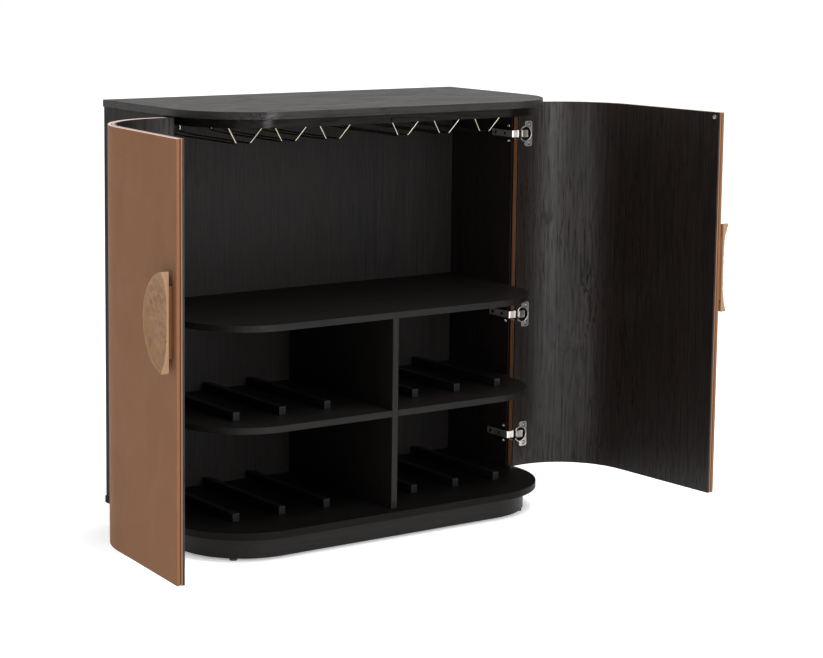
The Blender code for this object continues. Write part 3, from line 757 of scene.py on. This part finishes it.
def reshaped(obj, side, turn=None):
    """Turns a right-hand piece about the hinge's pin, and mirrors it for the left side."""
    edit(obj)
    bpy.ops.mesh.select_all(action="SELECT")
    pivot = (PIVOT_X, PIVOT_Y, 0)
    if turn is not None:
        matrix = Matrix.Translation(pivot) @ Matrix.Rotation(turn, 4, "Z")
        matrix = matrix @ Matrix.Translation([-p for p in pivot])
        mesh = bmesh.from_edit_mesh(obj.data)
        bmesh.ops.transform(mesh, matrix=matrix, verts=mesh.verts)
        bmesh.update_edit_mesh(obj.data)
    if side == "left":
        bpy.ops.transform.resize(value=(-1, 1, 1), center_override=(0, 0, 0))
        bpy.ops.mesh.flip_normals()
    bpy.ops.object.mode_set(mode="OBJECT")


def on_pin(name, low, high, radius, sides):
    """A rod on the hinge pin's axis, from one height to another."""
    return rod(name, (PIVOT_X, PIVOT_Y, low), (PIVOT_X, PIVOT_Y, high), radius, sides)


arm = block("arm", ARM_LOW, ARM_HIGH)
sliced((0, NOSE_Y, 0), (0, 1, 0))
pick_faces(lambda centre, normal: normal.x > SQUARE_ON and centre.y < NOSE_Y)
extrude((NOSE_REACH, 0, 0))
pick_edges(lambda a, b: all(near(p.x, ARM_LOW[0]) and near(p.y, ARM_LOW[1]) for p in (a, b)))
bpy.ops.mesh.bevel(offset=NOSE_ROUND, segments=4, affect="EDGES")
recess(looking(-1, 0, 0), ARM_LIP, (ARM_SINK, 0, 0))
ease(arm, STEEL_EDGE)

barrel = on_pin("barrel", -BARREL_HALF, BARREL_HALF, BARREL_RADIUS, 24)
pierce(Z, BARREL_WALL)
ease(barrel, FINE_EDGE, 1)

low = (RISER_X, RISER_FRONT, -RISER_HALF)
riser = block("riser", low, (MOUNT_FACE + RISER_OVERLAP, RISER_REAR, RISER_HALF))
ease(riser, RISER_EDGE)

low = (MOUNT_FACE, PLATE_FRONT, -PLATE_HALF)
plate = block("plate", low, (PANEL_X - PLATE_GAP, PLATE_REAR, PLATE_HALF))
sliced((0, WING_Y, 0), (0, 1, 0))
for way in (-1, 1):
    pick_faces(lambda centre, normal: normal.z * way > SQUARE_ON and centre.y < WING_Y)
    extrude((0, 0, way * WING_REACH))
    bpy.ops.transform.resize(value=(1, WING_TAPER, 1))
pick_edges(lambda a, b: near(a.y, b.y) and near(a.z, b.z) and abs(a.z) > 2 * PLATE_HALF)
bpy.ops.mesh.bevel(offset=WING_ROUND, segments=4, affect="EDGES")
ease(plate, STEEL_EDGE)

arm_set = joined("arm_pattern", arm, barrel)
mount_set = joined("mount_pattern", riser, plate)


def screw(name, centre, facing, radius, height):
    """A pan-head screw with a cross recess; facing is the way that its head looks."""
    centre, facing = Vector(centre), Vector(facing)
    level = centre + facing * height
    head = rod(name, centre, level, radius, 24)
    pick_faces(looking(*facing))
    bpy.ops.mesh.bevel(offset=height * HEAD_ROUND, segments=3, affect="EDGES")
    ease(head, SCREW_EDGE, 1)
    axes = (Vector((1, 0, 0)), Vector((0, 1, 0)), Vector((0, 0, 1)))
    across = [axis for axis in axes if abs(axis.dot(facing)) < 0.5]
    depth = Vector(abs(v) for v in facing) * height * CROSS_DEPTH
    slots = []
    for long, short in (across, across[::-1]):
        reach = long * radius * CROSS_REACH + short * radius * CROSS_WIDTH
        slots.append(block("slot", level - reach - depth, level + reach + depth))
    cut(head, *slots)
    return head


SCREWS = {
    # name: centre, radius, height
    "wing_top": ((MOUNT_FACE, -0.019, 0.0185), 0.0038, 0.0018),
    "wing_bottom": ((MOUNT_FACE, -0.019, -0.0185), 0.0038, 0.0018),
    "side_adjuster": ((ARM_FACE, -0.014, 0), 0.0036, 0.0015),
    "arm_fixing": ((ARM_FACE, 0.022, 0), 0.0042, 0.0018),
}
screws = {
    word: screw(f"right_hinge_{word}_low", centre, (-1, 0, 0), radius, height)
    for word, (centre, radius, height) in SCREWS.items()
}


def at_all_hinges(shape, name, body, material, node_name=None, turns=None):
    """Copies a right-hand hinge piece to six places, and settles each one."""
    for side in ("right", "left"):
        for level in HINGE_LEVELS:
            twin = copied(shape, f"{side}_{name}_{level}", (0, 0, height_of(level)))
            reshaped(twin, side, turns[side] if turns else None)
            replaced = node_name.format(side=side, level=level) if node_name else ()
            settle(twin, material, body.format(side=side), replaced)
    bpy.data.objects.remove(shape)


bright_nickel = metal("bright_nickel", ALONG_Y, NICKEL, DULL_NICKEL, rough=0.36)
# Steel painted near black, as painted shade on the hinge parts inside the cabinet and the cups
painted_shade_steel = metal("painted_shade_steel", ALONG_Y, PAINTED_SHADE_STEEL, DULL_PAINTED_SHADE_STEEL, rough=0.38)
screw_steel = metal("screw_steel", ALONG_X, SCREW, DULL_SCREW, rough=0.20)
at_all_hinges(arm_set, "hinge_arm_set", "carcass", bright_nickel, "{side}_hinge_arm_{level}")
at_all_hinges(mount_set, "hinge_mount", "carcass", painted_shade_steel)
for word, shape in screws.items():
    shape.name = f"{word}_pattern"
    # Only the wing screws are bright; the others are painted near black as painted shade
    finish = screw_steel if "wing" in word else painted_shade_steel
    at_all_hinges(shape, f"hinge_{word}", "carcass", finish)


# Doors: veneered inner panel and leather board
# Each door is a curved board clad in tan saddle leather, in three layers that leave a groove
# round its edges, and lined with a thin dark oak panel. It is laminated over a mould. It is
# modelled closed on the right, then mirrored for the left side and swung open.

FRONT_Y = -0.25
CURVE_X, CURVE_Y = 0.306, -0.056
low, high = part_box("right_door_leather_board")
DOOR_LOW, DOOR_HIGH = low.z, high.z
FREE_END_X = 0.0015
HINGE_END_Y = -0.032
DOOR_INSET = 0.002
CUP_Y = -0.055
# How far each door stands open in the photo
OPEN = {"right": math.radians(92.87), "left": math.radians(95.25)}

# The cuts that the hinges need in a closed door, each from the cutters' start to its own end
CUTTER_START = 0.45
BORE_END, BORE_RADIUS = 0.4922, 0.0178
NOTCH_END, NOTCH_Y, NOTCH_HALF = 0.4956, -0.0458, 0.0136
SEAT_END, SEAT_FRONT, SEAT_REAR, SEAT_HALF = 0.4803, 0.0213, 0.0033, 0.0313
RIM_RADIUS = 0.0198


def curved_sheet(name, inset, thickness, margin, edge):
    """A layer of a closed right door, from its outer face's inset from the slabs' outline."""
    start_x, front_y, end_y = FREE_END_X + margin, FRONT_Y + inset, HINGE_END_Y - margin
    bottom, top = DOOR_LOW + margin, DOOR_HIGH - margin
    centre = ((start_x + CURVE_X) / 2, front_y, (bottom + top) / 2)
    close()
    bpy.ops.mesh.primitive_plane_add(size=1, location=centre, rotation=(math.radians(90), 0, 0))
    sheet = started(name)
    bpy.ops.mesh.select_all(action="SELECT")
    size = (CURVE_X - start_x, 1, top - bottom)
    bpy.ops.transform.resize(value=size, center_override=centre)
    pick_edges(lambda a, b: near(a.x, CURVE_X) and near(b.x, CURVE_X))
    centre = (CURVE_X, CURVE_Y, 0)
    bpy.ops.mesh.spin(
        steps=CORNER_STEPS, angle=-math.pi / 2, center=centre, axis=(0, 0, 1), dupli=False
    )
    bpy.ops.mesh.select_all(action="SELECT")
    bpy.ops.mesh.remove_doubles(threshold=1e-6)
    pick_edges(lambda a, b: near(a.y, CURVE_Y) and near(b.y, CURVE_Y))
    extrude((0, end_y - CURVE_Y, 0))
    bpy.ops.mesh.select_all(action="SELECT")
    bpy.ops.mesh.normals_make_consistent(inside=False)
    mesh = bmesh.from_edit_mesh(sheet.data)
    front = [face for face in mesh.faces if near(face.calc_center_median().y, front_y)]
    if sum(face.normal.y for face in front) > 0:
        bpy.ops.mesh.flip_normals()
    choose(sheet)
    bpy.ops.object.modifier_add(type="SOLIDIFY")
    wall = sheet.modifiers[-1]
    wall.thickness = thickness
    wall.offset = -1
    wall.use_even_offset = True
    bpy.ops.object.modifier_apply(modifier=wall.name)
    ease(sheet, edge, 3)
    return sheet


def hinge_cutters(with_flange):
    """What the three hinges take out of a closed right door: cup bores, arm notches, and seats."""
    groups = {"bore": [], "notch": []}
    if with_flange:
        groups.update(rim=[], seat=[])
    for level in HINGE_LEVELS:
        z = height_of(level)
        start = (CUTTER_START, CUP_Y, z)
        groups["bore"].append(rod("bore", start, (BORE_END, CUP_Y, z), BORE_RADIUS, 48))
        low, high = (CUTTER_START, NOTCH_Y, z - NOTCH_HALF), (NOTCH_END, 0, z + NOTCH_HALF)
        groups["notch"].append(block("notch", low, high))
        if with_flange:
            groups["rim"].append(rod("rim", start, (SEAT_END, CUP_Y, z), RIM_RADIUS, 48))
            low = (CUTTER_START, CUP_Y - SEAT_FRONT, z - SEAT_HALF)
            high = (SEAT_END, CUP_Y + SEAT_REAR, z + SEAT_HALF)
            groups["seat"].append(block("seat", low, high))
    return [joined(word, *shapes) for word, shapes in groups.items()]


# Leather's pebbles, the creases between them, and a broad mottle
leather_grain, given, made = effect(
    "leather_grain",
    [("Place", vector), ("Pebble Scale", number)],
    [("Pebbles", number), ("Creases", number), ("Mottle", number)],
)
spread = vectors(leather_grain, "MULTIPLY", {0: given["Place"], 1: (1, 1, 0.8)})[0]
wander = noise(leather_grain, given["Place"], (1, 1, 1), 160, 3)
inputs = {"Vector": spread, "Randomness": 1.0}
cells = node(leather_grain, "ShaderNodeTexVoronoi", inputs, feature="DISTANCE_TO_EDGE")
leather_grain.links.new(given["Pebble Scale"], cells.inputs["Scale"])
pebbles = ranged(leather_grain, cells.outputs["Distance"], 0.0, 0.28)
leather_grain.links.new(pebbles, made["Pebbles"])
creases = ranged(leather_grain, cells.outputs["Distance"], 0.0, 0.07, 1.0, 0.0)
leather_grain.links.new(maths(leather_grain, "MULTIPLY", creases, wander), made["Creases"])
mottle = noise(leather_grain, given["Place"], (1, 1, 0.7), 11, 6, 0.62, 0.8)
leather_grain.links.new(ranged(leather_grain, mottle, 0.30, 0.72), made["Mottle"])


PEBBLE_SCALE, PEBBLE_DEPTH = 620.0, 0.00022
CREASE_COVER, CREASE_SHADE = 0.45, 0.62


def leather(name, pale, deep, rough, level_face_light):
    """Vegetable-tanned leather with a fine pebble; its level faces, on top and underneath, are painted
    paler as painted light, and its creases darker as painted shade.
    """
    material, tree, shader, place = blank(name, Specular_IOR_Level=0.16)
    marks = placed(tree, leather_grain, {"Place": place, "Pebble Scale": PEBBLE_SCALE})
    tint = mixed(tree, marks["Mottle"], pale, deep)
    # The level faces, on top and underneath, are painted paler, as painted light
    tint = mixed(tree, flatness(tree, place, 0.55, 0.90), tint, level_face_light)
    # The creases between the pebbles are painted darker, as painted shade in them
    painted_crease_shade = maths(tree, "MULTIPLY", marks["Creases"], CREASE_COVER)
    darker = tuple(c * CREASE_SHADE for c in deep)
    tree.links.new(mixed(tree, painted_crease_shade, tint, darker), shader["Base Color"])
    tree.links.new(ranged(tree, marks["Mottle"], 0, 1, rough, rough + 0.10), shader["Roughness"])
    bumped(tree, shader, marks["Pebbles"], PEBBLE_DEPTH)
    return material


saddle = leather(
    "saddle_leather", pale=(0.157, 0.0655, 0.0258), deep=(0.144, 0.0595, 0.0228),
    rough=0.60, level_face_light=(0.46, 0.38, 0.34),
)
edge_leather = leather(
    "edge_leather", pale=(0.176, 0.090, 0.050), deep=(0.150, 0.075, 0.040),
    rough=0.55, level_face_light=(0.42, 0.34, 0.30),
)

# The groove shows the rust-coloured core board
CORE_RUSTS = ((0.068, 0.021, 0.009), (0.110, 0.042, 0.020))
core_board = speckled("core_board", CORE_RUSTS, scale=380, gloss=(0.7, 0.85), relief=0.0002)

door_oak = dark_oak(
    "door_oak", ALONG_Z, dark=(0.0031, 0.0024, 0.0021), light=(0.0100, 0.0074, 0.0064),
    gloss=0.34, shine=0.07, relief=1.1, film=0.365, film_gloss=0.34,
)

LAYERS = {
    # name: outer inset, thickness, margin, rounding, material, slot, CAD node, has flange seats
    "leather_skin": (DOOR_INSET, 0.0074, 0.0, 0.0013, saddle, "leather", "leather_board", False),
    "leather_core": (0.0094, 0.0022, 0.0028, 0.0002, core_board, "leather", None, False),
    "leather_lining": (0.0116, 0.0040, 0.0, 0.0008, edge_leather, "leather", None, False),
    "veneer_panel": (0.0158, 0.0042, 0.0, 0.0005, door_oak, "dark_wood", "inner_panel", True),
}
for word, (inset, thickness, margin, rounding, finish, slot_name, cad, seats) in LAYERS.items():
    layer = curved_sheet(f"right_door_{word}", inset, thickness, margin, rounding)
    cut(layer, *hinge_cutters(seats))
    other = copied(layer, f"left_door_{word}")
    for side, piece in (("right", layer), ("left", other)):
        reshaped(piece, side, OPEN[side])
        replaced = f"{side}_door_{cad}" if cad else ()
        settle(piece, finish, f"{side}_door", replaced, smooth=30)


# Handles
# A disc of pale wood is turned, its front is hollowed with a gouge, and it is cut upright
# beside the doors' meeting line, half for each door. A smaller disc holds it off the leather.

HANDLE_Z = 0.615
HANDLE_RADIUS = 0.105
HANDLE_RIM = 0.0185
RIM_WIDTH = 0.005
DISH_FLOOR = 0.0068
# A high power of the radius keeps the dish's floor flat and steepens its side
DISH_CURVE = 3.8
SPACER_RADIUS = 0.076
SPACER_THICKNESS = 0.010
# From the doors' meeting line to the cut face of each half
SETBACK = {"left": 0.0165, "right": 0.0040}
HANDLE_BACK = FRONT_Y + DOOR_INSET - SPACER_THICKNESS
BACK_CHAMFER, RIM_CHAMFER, DISH_CHAMFER = 0.0006, 0.0010, 0.0006
HANDLE_EDGE = 0.0005
RINGS = 56
CARVED_MARGIN, HOLLOW_DEPTH, HOLLOW_MARGIN = 0.0005, 0.001, 0.0008
RIM_SHARE = 0.55
WOOD_RINGS, WOOD_STREAKS = 150.0, 260.0
SAWN = ((0.189, 0.102, 0.053), (0.253, 0.143, 0.078))
CARVED = ((0.169, 0.085, 0.037), (0.209, 0.108, 0.050))
DENT_PAINTED_SHADE, FIGURE = (0.105, 0.052, 0.022), (0.165, 0.082, 0.038)
SPACER_SHADE_TONES = ((0.066, 0.026, 0.010), (0.104, 0.046, 0.019))


def turned(name, profile, steps=96):
    """A shape turned on the handles' axis from its profile of radius and Y."""
    shape = drawn(name, [(r, y, HANDLE_Z) for r, y in profile])
    bpy.ops.mesh.spin(
        steps=steps, angle=2 * math.pi, center=(0, 0, HANDLE_Z), axis=(0, 1, 0), dupli=False
    )
    bpy.ops.mesh.select_all(action="SELECT")
    bpy.ops.mesh.remove_doubles(threshold=2e-5)
    bpy.ops.mesh.normals_make_consistent(inside=False)
    return shape


dish = HANDLE_RADIUS - RIM_WIDTH
sag = HANDLE_RIM - DISH_FLOOR
rim_y = HANDLE_BACK - HANDLE_RIM
profile = [
    (0, HANDLE_BACK),
    (HANDLE_RADIUS - BACK_CHAMFER, HANDLE_BACK),
    (HANDLE_RADIUS, HANDLE_BACK - BACK_CHAMFER),
    (HANDLE_RADIUS, rim_y + RIM_CHAMFER),
    (HANDLE_RADIUS - RIM_CHAMFER, rim_y),
    (dish + DISH_CHAMFER, rim_y),
]
for i in range(RINGS, -1, -1):
    r = dish * i / RINGS
    rise = sag * (r / dish) ** DISH_CURVE
    profile.append((r, HANDLE_BACK - DISH_FLOOR - rise))

# Gouge marks, pressed into the dish by a pattern of cells and a finer ripple
CARVING = {
    # name: kind, size, depth
    "gouges": ("VORONOI", 0.013, 0.0024),
    "ripple": ("CLOUDS", 0.005, 0.0016),
}
disc = turned("handle_disc", profile, 224)
choose(disc)
dished = disc.vertex_groups.new(name="dished")
marked = []
for point in disc.data.vertices:
    radius = math.hypot(point.co.x, point.co.z - HANDLE_Z)
    in_front = point.co.y < HANDLE_BACK - DISH_FLOOR + CARVED_MARGIN
    if in_front and radius < HANDLE_RADIUS - CARVED_MARGIN:
        marked.append(point.index)
dished.add(marked, 1.0, "REPLACE")
for label, (kind, size, depth) in CARVING.items():
    pattern = bpy.data.textures.new(label, kind)
    pattern.noise_scale = size
    bpy.ops.object.modifier_add(type="DISPLACE")
    displace = disc.modifiers[-1]
    displace.texture = pattern
    displace.texture_coords = "LOCAL"
    displace.vertex_group = "dished"
    displace.direction = "Y"
    displace.mid_level = 0.0
    displace.strength = depth
    bpy.ops.object.modifier_apply(modifier=displace.name)
hollow = disc.data.attributes.new("hollow", "FLOAT", "FACE")
for face in disc.data.polygons:
    radius = math.hypot(face.center.x, face.center.z - HANDLE_Z)
    if face.center.y < HANDLE_BACK - HOLLOW_DEPTH and radius < HANDLE_RADIUS - HOLLOW_MARGIN:
        hollow.data[face.index].value = 1.0 if radius < dish else RIM_SHARE

back, front = FRONT_Y + 0.0017, HANDLE_BACK + 0.0003
spacer = turned("spacer_disc", [(0, back), (SPACER_RADIUS, back), (SPACER_RADIUS, front), (0, front)])

# Bare wood with soft dents, which are painted darker as painted shade; the hollow of the dish is darker
# than its rim and its sawn faces
pale_wood, tree, shader, place = blank("pale_wood", Specular_IOR_Level=0.25)
marks = placed(tree, grain, {"Place": place, "Rings": WOOD_RINGS, "Streak Scale": WOOD_STREAKS})
hollow = node(tree, "ShaderNodeAttribute", attribute_name="hollow").outputs["Fac"]
sawn = mixed(tree, marks["Streaks"], *SAWN)
carved = mixed(tree, marks["Streaks"], *CARVED)
dents = ranged(tree, noise(tree, place, (1, 1, 0.55), 130, 3, 0.6), 0.48, 0.66)
patches = ranged(tree, noise(tree, place, (1, 1, 0.8), 34, 2), 0.40, 0.62, 0.15, 1.0)
dents = maths(tree, "MULTIPLY", dents, patches)
# The dents are painted darker, as painted shade in them
carved = mixed(tree, maths(tree, "MULTIPLY", dents, 0.60), carved, DENT_PAINTED_SHADE)
ragged = ranged(tree, noise(tree, place, (1, 1, 1), 75, 3, 0.6), 0.35, 0.62, 0.55, 1.4)
body = mixed(tree, maths(tree, "MULTIPLY", hollow, ragged, clamp=True), sawn, carved)
body = mixed(tree, maths(tree, "MULTIPLY", marks["Figure"], 0.25), body, FIGURE)
tree.links.new(body, shader["Base Color"])
tree.links.new(ranged(tree, marks["Streaks"], 0, 1, 0.50, 0.62), shader["Roughness"])
chisel = maths(tree, "MULTIPLY", hollow, maths(tree, "MULTIPLY", dents, -4.0))
bumped(tree, shader, maths(tree, "MULTIPLY_ADD", marks["Streaks"], 0.5, chisel), 0.00040)

# The spacer is painted darker and redder than the handle, as painted shade in the gap between the handle
# and the leather
shaded_spacer_wood, tree, shader, place = blank("shaded_spacer_wood", Specular_IOR_Level=0.10)
marks = placed(tree, grain, {"Place": place, "Rings": WOOD_RINGS, "Streak Scale": WOOD_STREAKS})
tree.links.new(mixed(tree, marks["Streaks"], *SPACER_SHADE_TONES), shader["Base Color"])
tree.links.new(ranged(tree, marks["Streaks"], 0, 1, 0.50, 0.62), shader["Roughness"])
bumped(tree, shader, marks["Streaks"], 0.0001)

HALVES = (("handle", disc, pale_wood), ("spacer", spacer, shaded_spacer_wood))
for part, shape, finish in HALVES:
    for side in ("right", "left"):
        half = copied(shape, f"{side}_door_{part}_half")
        edit(half)
        sliced((SETBACK[side], 0, 0), (1, 0, 0), drop=True)
        ease(half, HANDLE_EDGE)
        reshaped(half, side, OPEN[side])
        replaced = f"{side}_door_handle" + ("_spacer" if part == "spacer" else "")
        settle(half, finish, f"{side}_door", replaced, smooth=35)
    bpy.data.objects.remove(shape)


# Door studs and hinge cups
# A nickel-plated stud on each door meets the magnet. Each hinge's cup is pressed into the
# door with its flange let into the inner panel, and two ears carry the pin. The cup's body, the
# ears and the pin are painted near black, as painted shade in the cup.

low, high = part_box("right_door_strike")
STUD_X, STUD_Z = 0.014, (low.z + high.z) / 2
STUD_BACK, STUD_HEIGHT, STUD_RADIUS = FRONT_Y + 0.0203, 0.003, 0.005
STUD_RIM, STUD_SINK = 0.0030, 0.0008
DOOR_NICKEL, DULL_DOOR_NICKEL = (0.66, 0.65, 0.62), (0.46, 0.45, 0.43)
nickel = metal("hinge_nickel", ALONG_Z, DOOR_NICKEL, DULL_DOOR_NICKEL, rough=0.26)

start, end = (STUD_X, STUD_BACK, STUD_Z), (STUD_X, STUD_BACK + STUD_HEIGHT, STUD_Z)
stud = rod("stud", start, end, STUD_RADIUS)
recess(looking(0, 1, 0), STUD_RIM, (0, -STUD_SINK, 0))
ease(stud, STEEL_EDGE, 3)
for side in ("right", "left"):
    piece = copied(stud, f"{side}_door_stud")
    reshaped(piece, side, OPEN[side])
    settle(piece, nickel, f"{side}_door", f"{side}_door_strike")
bpy.data.objects.remove(stud)

CUP_FACE, PLATE_BACK, CUP_FLOOR = 0.4785, 0.4800, 0.4895
FLANGE_LIFT, FLANGE_FRONT, FLANGE_REAR = 0.0005, 0.021, 0.003
FLANGE_HALF, FLANGE_CORNER = 0.031, 0.005
RING_RADIUS, RING_WALL, RING_EDGE = 0.0195, 0.0021, 0.0005
CUP_LIFT, CUP_RADIUS, CUP_STEP = 0.0007, 0.0190, 0.0015
CUP_DEPTH, CUP_WALL = 0.0117, 0.0025
EAR_IN, EAR_OUT, EAR_RADIUS = 0.0095, 0.0133, 0.0033
PIN_HALF, PIN_RADIUS, PIN_EDGE = 0.0128, 0.0015, 0.0002
SLOT_START, SLOT_END, SLOT_REAR = 0.46, 0.50, -0.02
MOUTH_START, MOUTH_END, MOUTH_RADIUS = 0.47, 0.49, 0.0172
HOLE_Y, HOLE_Z = CUP_Y - 0.0110, 0.0225
HOLE_RADIUS, HOLE_STRETCH = 0.0046, 1.35
END_LIFT, END_HALF, END_LIP, END_SINK, END_EDGE = 0.0012, 0.0085, 0.0018, 0.0008, 0.0006
WEB_LIFT = 0.0008
CUP_SCREW_LIFT, CUP_SCREW_RADIUS, CUP_SCREW_HEIGHT = 0.0012, 0.0034, 0.0011

low = (CUP_FACE + FLANGE_LIFT, CUP_Y - FLANGE_FRONT, -FLANGE_HALF)
flange = block("flange", low, (PLATE_BACK, CUP_Y + FLANGE_REAR, FLANGE_HALF))
pick_edges(lambda a, b: near(a.y, b.y) and near(a.z, b.z))
bpy.ops.mesh.bevel(offset=FLANGE_CORNER, segments=5, affect="EDGES")
ease(flange, FINE_EDGE)
ring = rod("ring", (CUP_FACE, CUP_Y, 0), (PLATE_BACK, CUP_Y, 0), RING_RADIUS, 56)
pierce(X, RING_WALL)
ease(ring, RING_EDGE, 3)
cup = rod("cup", (CUP_FACE + CUP_LIFT, CUP_Y, 0), (PLATE_BACK, CUP_Y, 0), CUP_RADIUS, 56)
for way, border, reach in ((1, CUP_STEP, CUP_DEPTH), (-1, CUP_WALL, CUP_FLOOR - CUP_FACE)):
    pick_faces(looking(way, 0, 0))
    bpy.ops.mesh.inset(thickness=border)
    extrude((reach, 0, 0))
ease(cup, STEEL_EDGE)
slot_cutter = block("slot", (SLOT_START, NOTCH_Y, -EAR_IN), (SLOT_END, SLOT_REAR, EAR_IN))
cut(ring, copied(slot_cutter, "slot_too"))
cut(cup, slot_cutter)
mouth = [rod("mouth", (MOUTH_START, CUP_Y, 0), (MOUTH_END, CUP_Y, 0), MOUTH_RADIUS, 48)]
for z in (-HOLE_Z, HOLE_Z):
    mouth.append(rod("hole", (MOUTH_START, HOLE_Y, z), (MOUTH_END, HOLE_Y, z), HOLE_RADIUS, 28))
    bpy.ops.mesh.select_all(action="SELECT")
    bpy.ops.transform.resize(value=(1, 1, HOLE_STRETCH), center_override=(PLATE_BACK, CUP_Y, z))
cut(flange, *mouth)

# The arm's inner end, seen in the cup's mouth
low = (CUP_FACE + END_LIFT, CUP_Y - END_HALF, -END_HALF)
arm_end = block("arm_end", low, (CUP_FLOOR, CUP_Y + END_HALF, END_HALF))
recess(looking(-1, 0, 0), END_LIP, (END_SINK, 0, 0))
ease(arm_end, END_EDGE)
ears = []
for way in (-1, 1):
    ear = on_pin("ear", way * EAR_IN, way * EAR_OUT, EAR_RADIUS, 28)
    ease(ear, FINE_EDGE)
    low = (CUP_FACE + WEB_LIFT, PIVOT_Y - EAR_RADIUS, way * EAR_IN)
    web = block("web", low, (PIVOT_X, PIVOT_Y + EAR_RADIUS, way * EAR_OUT))
    ease(web, FINE_EDGE, 1)
    ears += [ear, web]
pin = on_pin("pin", -PIN_HALF, PIN_HALF, PIN_RADIUS, 20)
ease(pin, PIN_EDGE, 1)
cup_set = joined("cup_pattern", ring, flange, arm_end)
ear_set = joined("ear_pattern", cup, *ears, pin)
at_all_hinges(
    cup_set, "door_hinge_cup_set", "{side}_door", nickel,
    "{side}_door_hinge_cup_{level}", OPEN,
)
# The cup's body, ears and pin are painted near black, as painted shade in the cup
at_all_hinges(ear_set, "door_hinge_cup_body", "{side}_door", painted_shade_steel, None, OPEN)
for word, z in (("top", HOLE_Z), ("bottom", -HOLE_Z)):
    centre = (CUP_FACE + CUP_SCREW_LIFT, HOLE_Y, z)
    shape = screw(f"cup_screw_{word}", centre, (-1, 0, 0), CUP_SCREW_RADIUS, CUP_SCREW_HEIGHT)
    at_all_hinges(shape, f"door_hinge_screw_{word}", "{side}_door", nickel, None, OPEN)


# Floor, light and camera
# The photo's studio: a sheet of white paper that glows a little, white all round, and soft
# lights, which also draw the highlights on the lacquered edges. The camera's place, turn and
# shift were fitted to the photo's edges.

FLOOR_SIZE = 60
PAPER_TONES = ((0.93, 0.93, 0.93), (0.95, 0.95, 0.95))
WHITE = (1, 1, 1, 1)
LIGHTS = {
    # name: place, aim, size, watts
    "front_softbox": ((0.0, -5.0, 1.6), (0, 0, 0.7), (1.1, 2.6), 108),
    "side_strip": ((1.75, -4.65, 1.9), (-0.2, 0, 0.7), (0.30, 1.6), 16),
    "left_strip": ((-4.4, -2.8, 0.9), (-0.4, 0, 0.7), (0.40, 1.6), 12),
    "top_softbox": ((0.0, -1.4, 3.4), (0, 0, 0.9), (2.4, 1.4), 110),
}
SENSOR_WIDTH, FOCAL_LENGTH = 36, 98.65
SHIFT_RIGHT, SHIFT_UP = 0.0504, -0.1081
CAMERA_PLACE = (-2.9674, -4.3589, 1.3833)
CAMERA_HEADING, CAMERA_DIP, CAMERA_ROLL = -34.9623, 7.6698, 0.5618

close()
bpy.ops.mesh.primitive_plane_add(size=FLOOR_SIZE, location=(0, 0, 0))
ground = bpy.context.object
ground.name = "studio_floor"
paper, tree, shader, place = blank(
    "studio_paper", Roughness=0.9, Emission_Color=WHITE, Emission_Strength=0.30
)
tone = noise(tree, place, (1, 1, 1), 3, 2)
tree.links.new(mixed(tree, tone, *PAPER_TONES), shader["Base Color"])
ground.data.materials.append(paper)

world = bpy.data.worlds.new("studio")
bpy.context.scene.world = world
world.use_nodes = True
surround = world.node_tree.nodes["Background"].inputs
surround["Color"].default_value = WHITE
surround["Strength"].default_value = 1.0

for name, (place, aim, size, watts) in LIGHTS.items():
    lamp = bpy.data.lights.new(name, "AREA")
    lamp.shape = "RECTANGLE"
    lamp.size, lamp.size_y = size
    lamp.energy = watts
    holder = bpy.data.objects.new(name, lamp)
    holder.location = place
    holder.rotation_euler = (Vector(aim) - Vector(place)).to_track_quat("-Z", "Y").to_euler()
    bpy.context.scene.collection.objects.link(holder)

lens = bpy.data.cameras.new("camera")
lens.sensor_width, lens.lens = SENSOR_WIDTH, FOCAL_LENGTH
lens.shift_x, lens.shift_y = SHIFT_RIGHT, SHIFT_UP
camera = bpy.data.objects.new("camera", lens)
turn = Matrix.Rotation(math.radians(CAMERA_HEADING), 4, "Z")
turn = turn @ Matrix.Rotation(math.radians(90 - CAMERA_DIP), 4, "X")
turn = turn @ Matrix.Rotation(math.radians(CAMERA_ROLL), 4, "Z")
camera.matrix_world = Matrix.Translation(CAMERA_PLACE) @ turn
bpy.context.scene.collection.objects.link(camera)
bpy.context.scene.camera = camera
bpy.context.scene.view_settings.view_transform = "Standard"
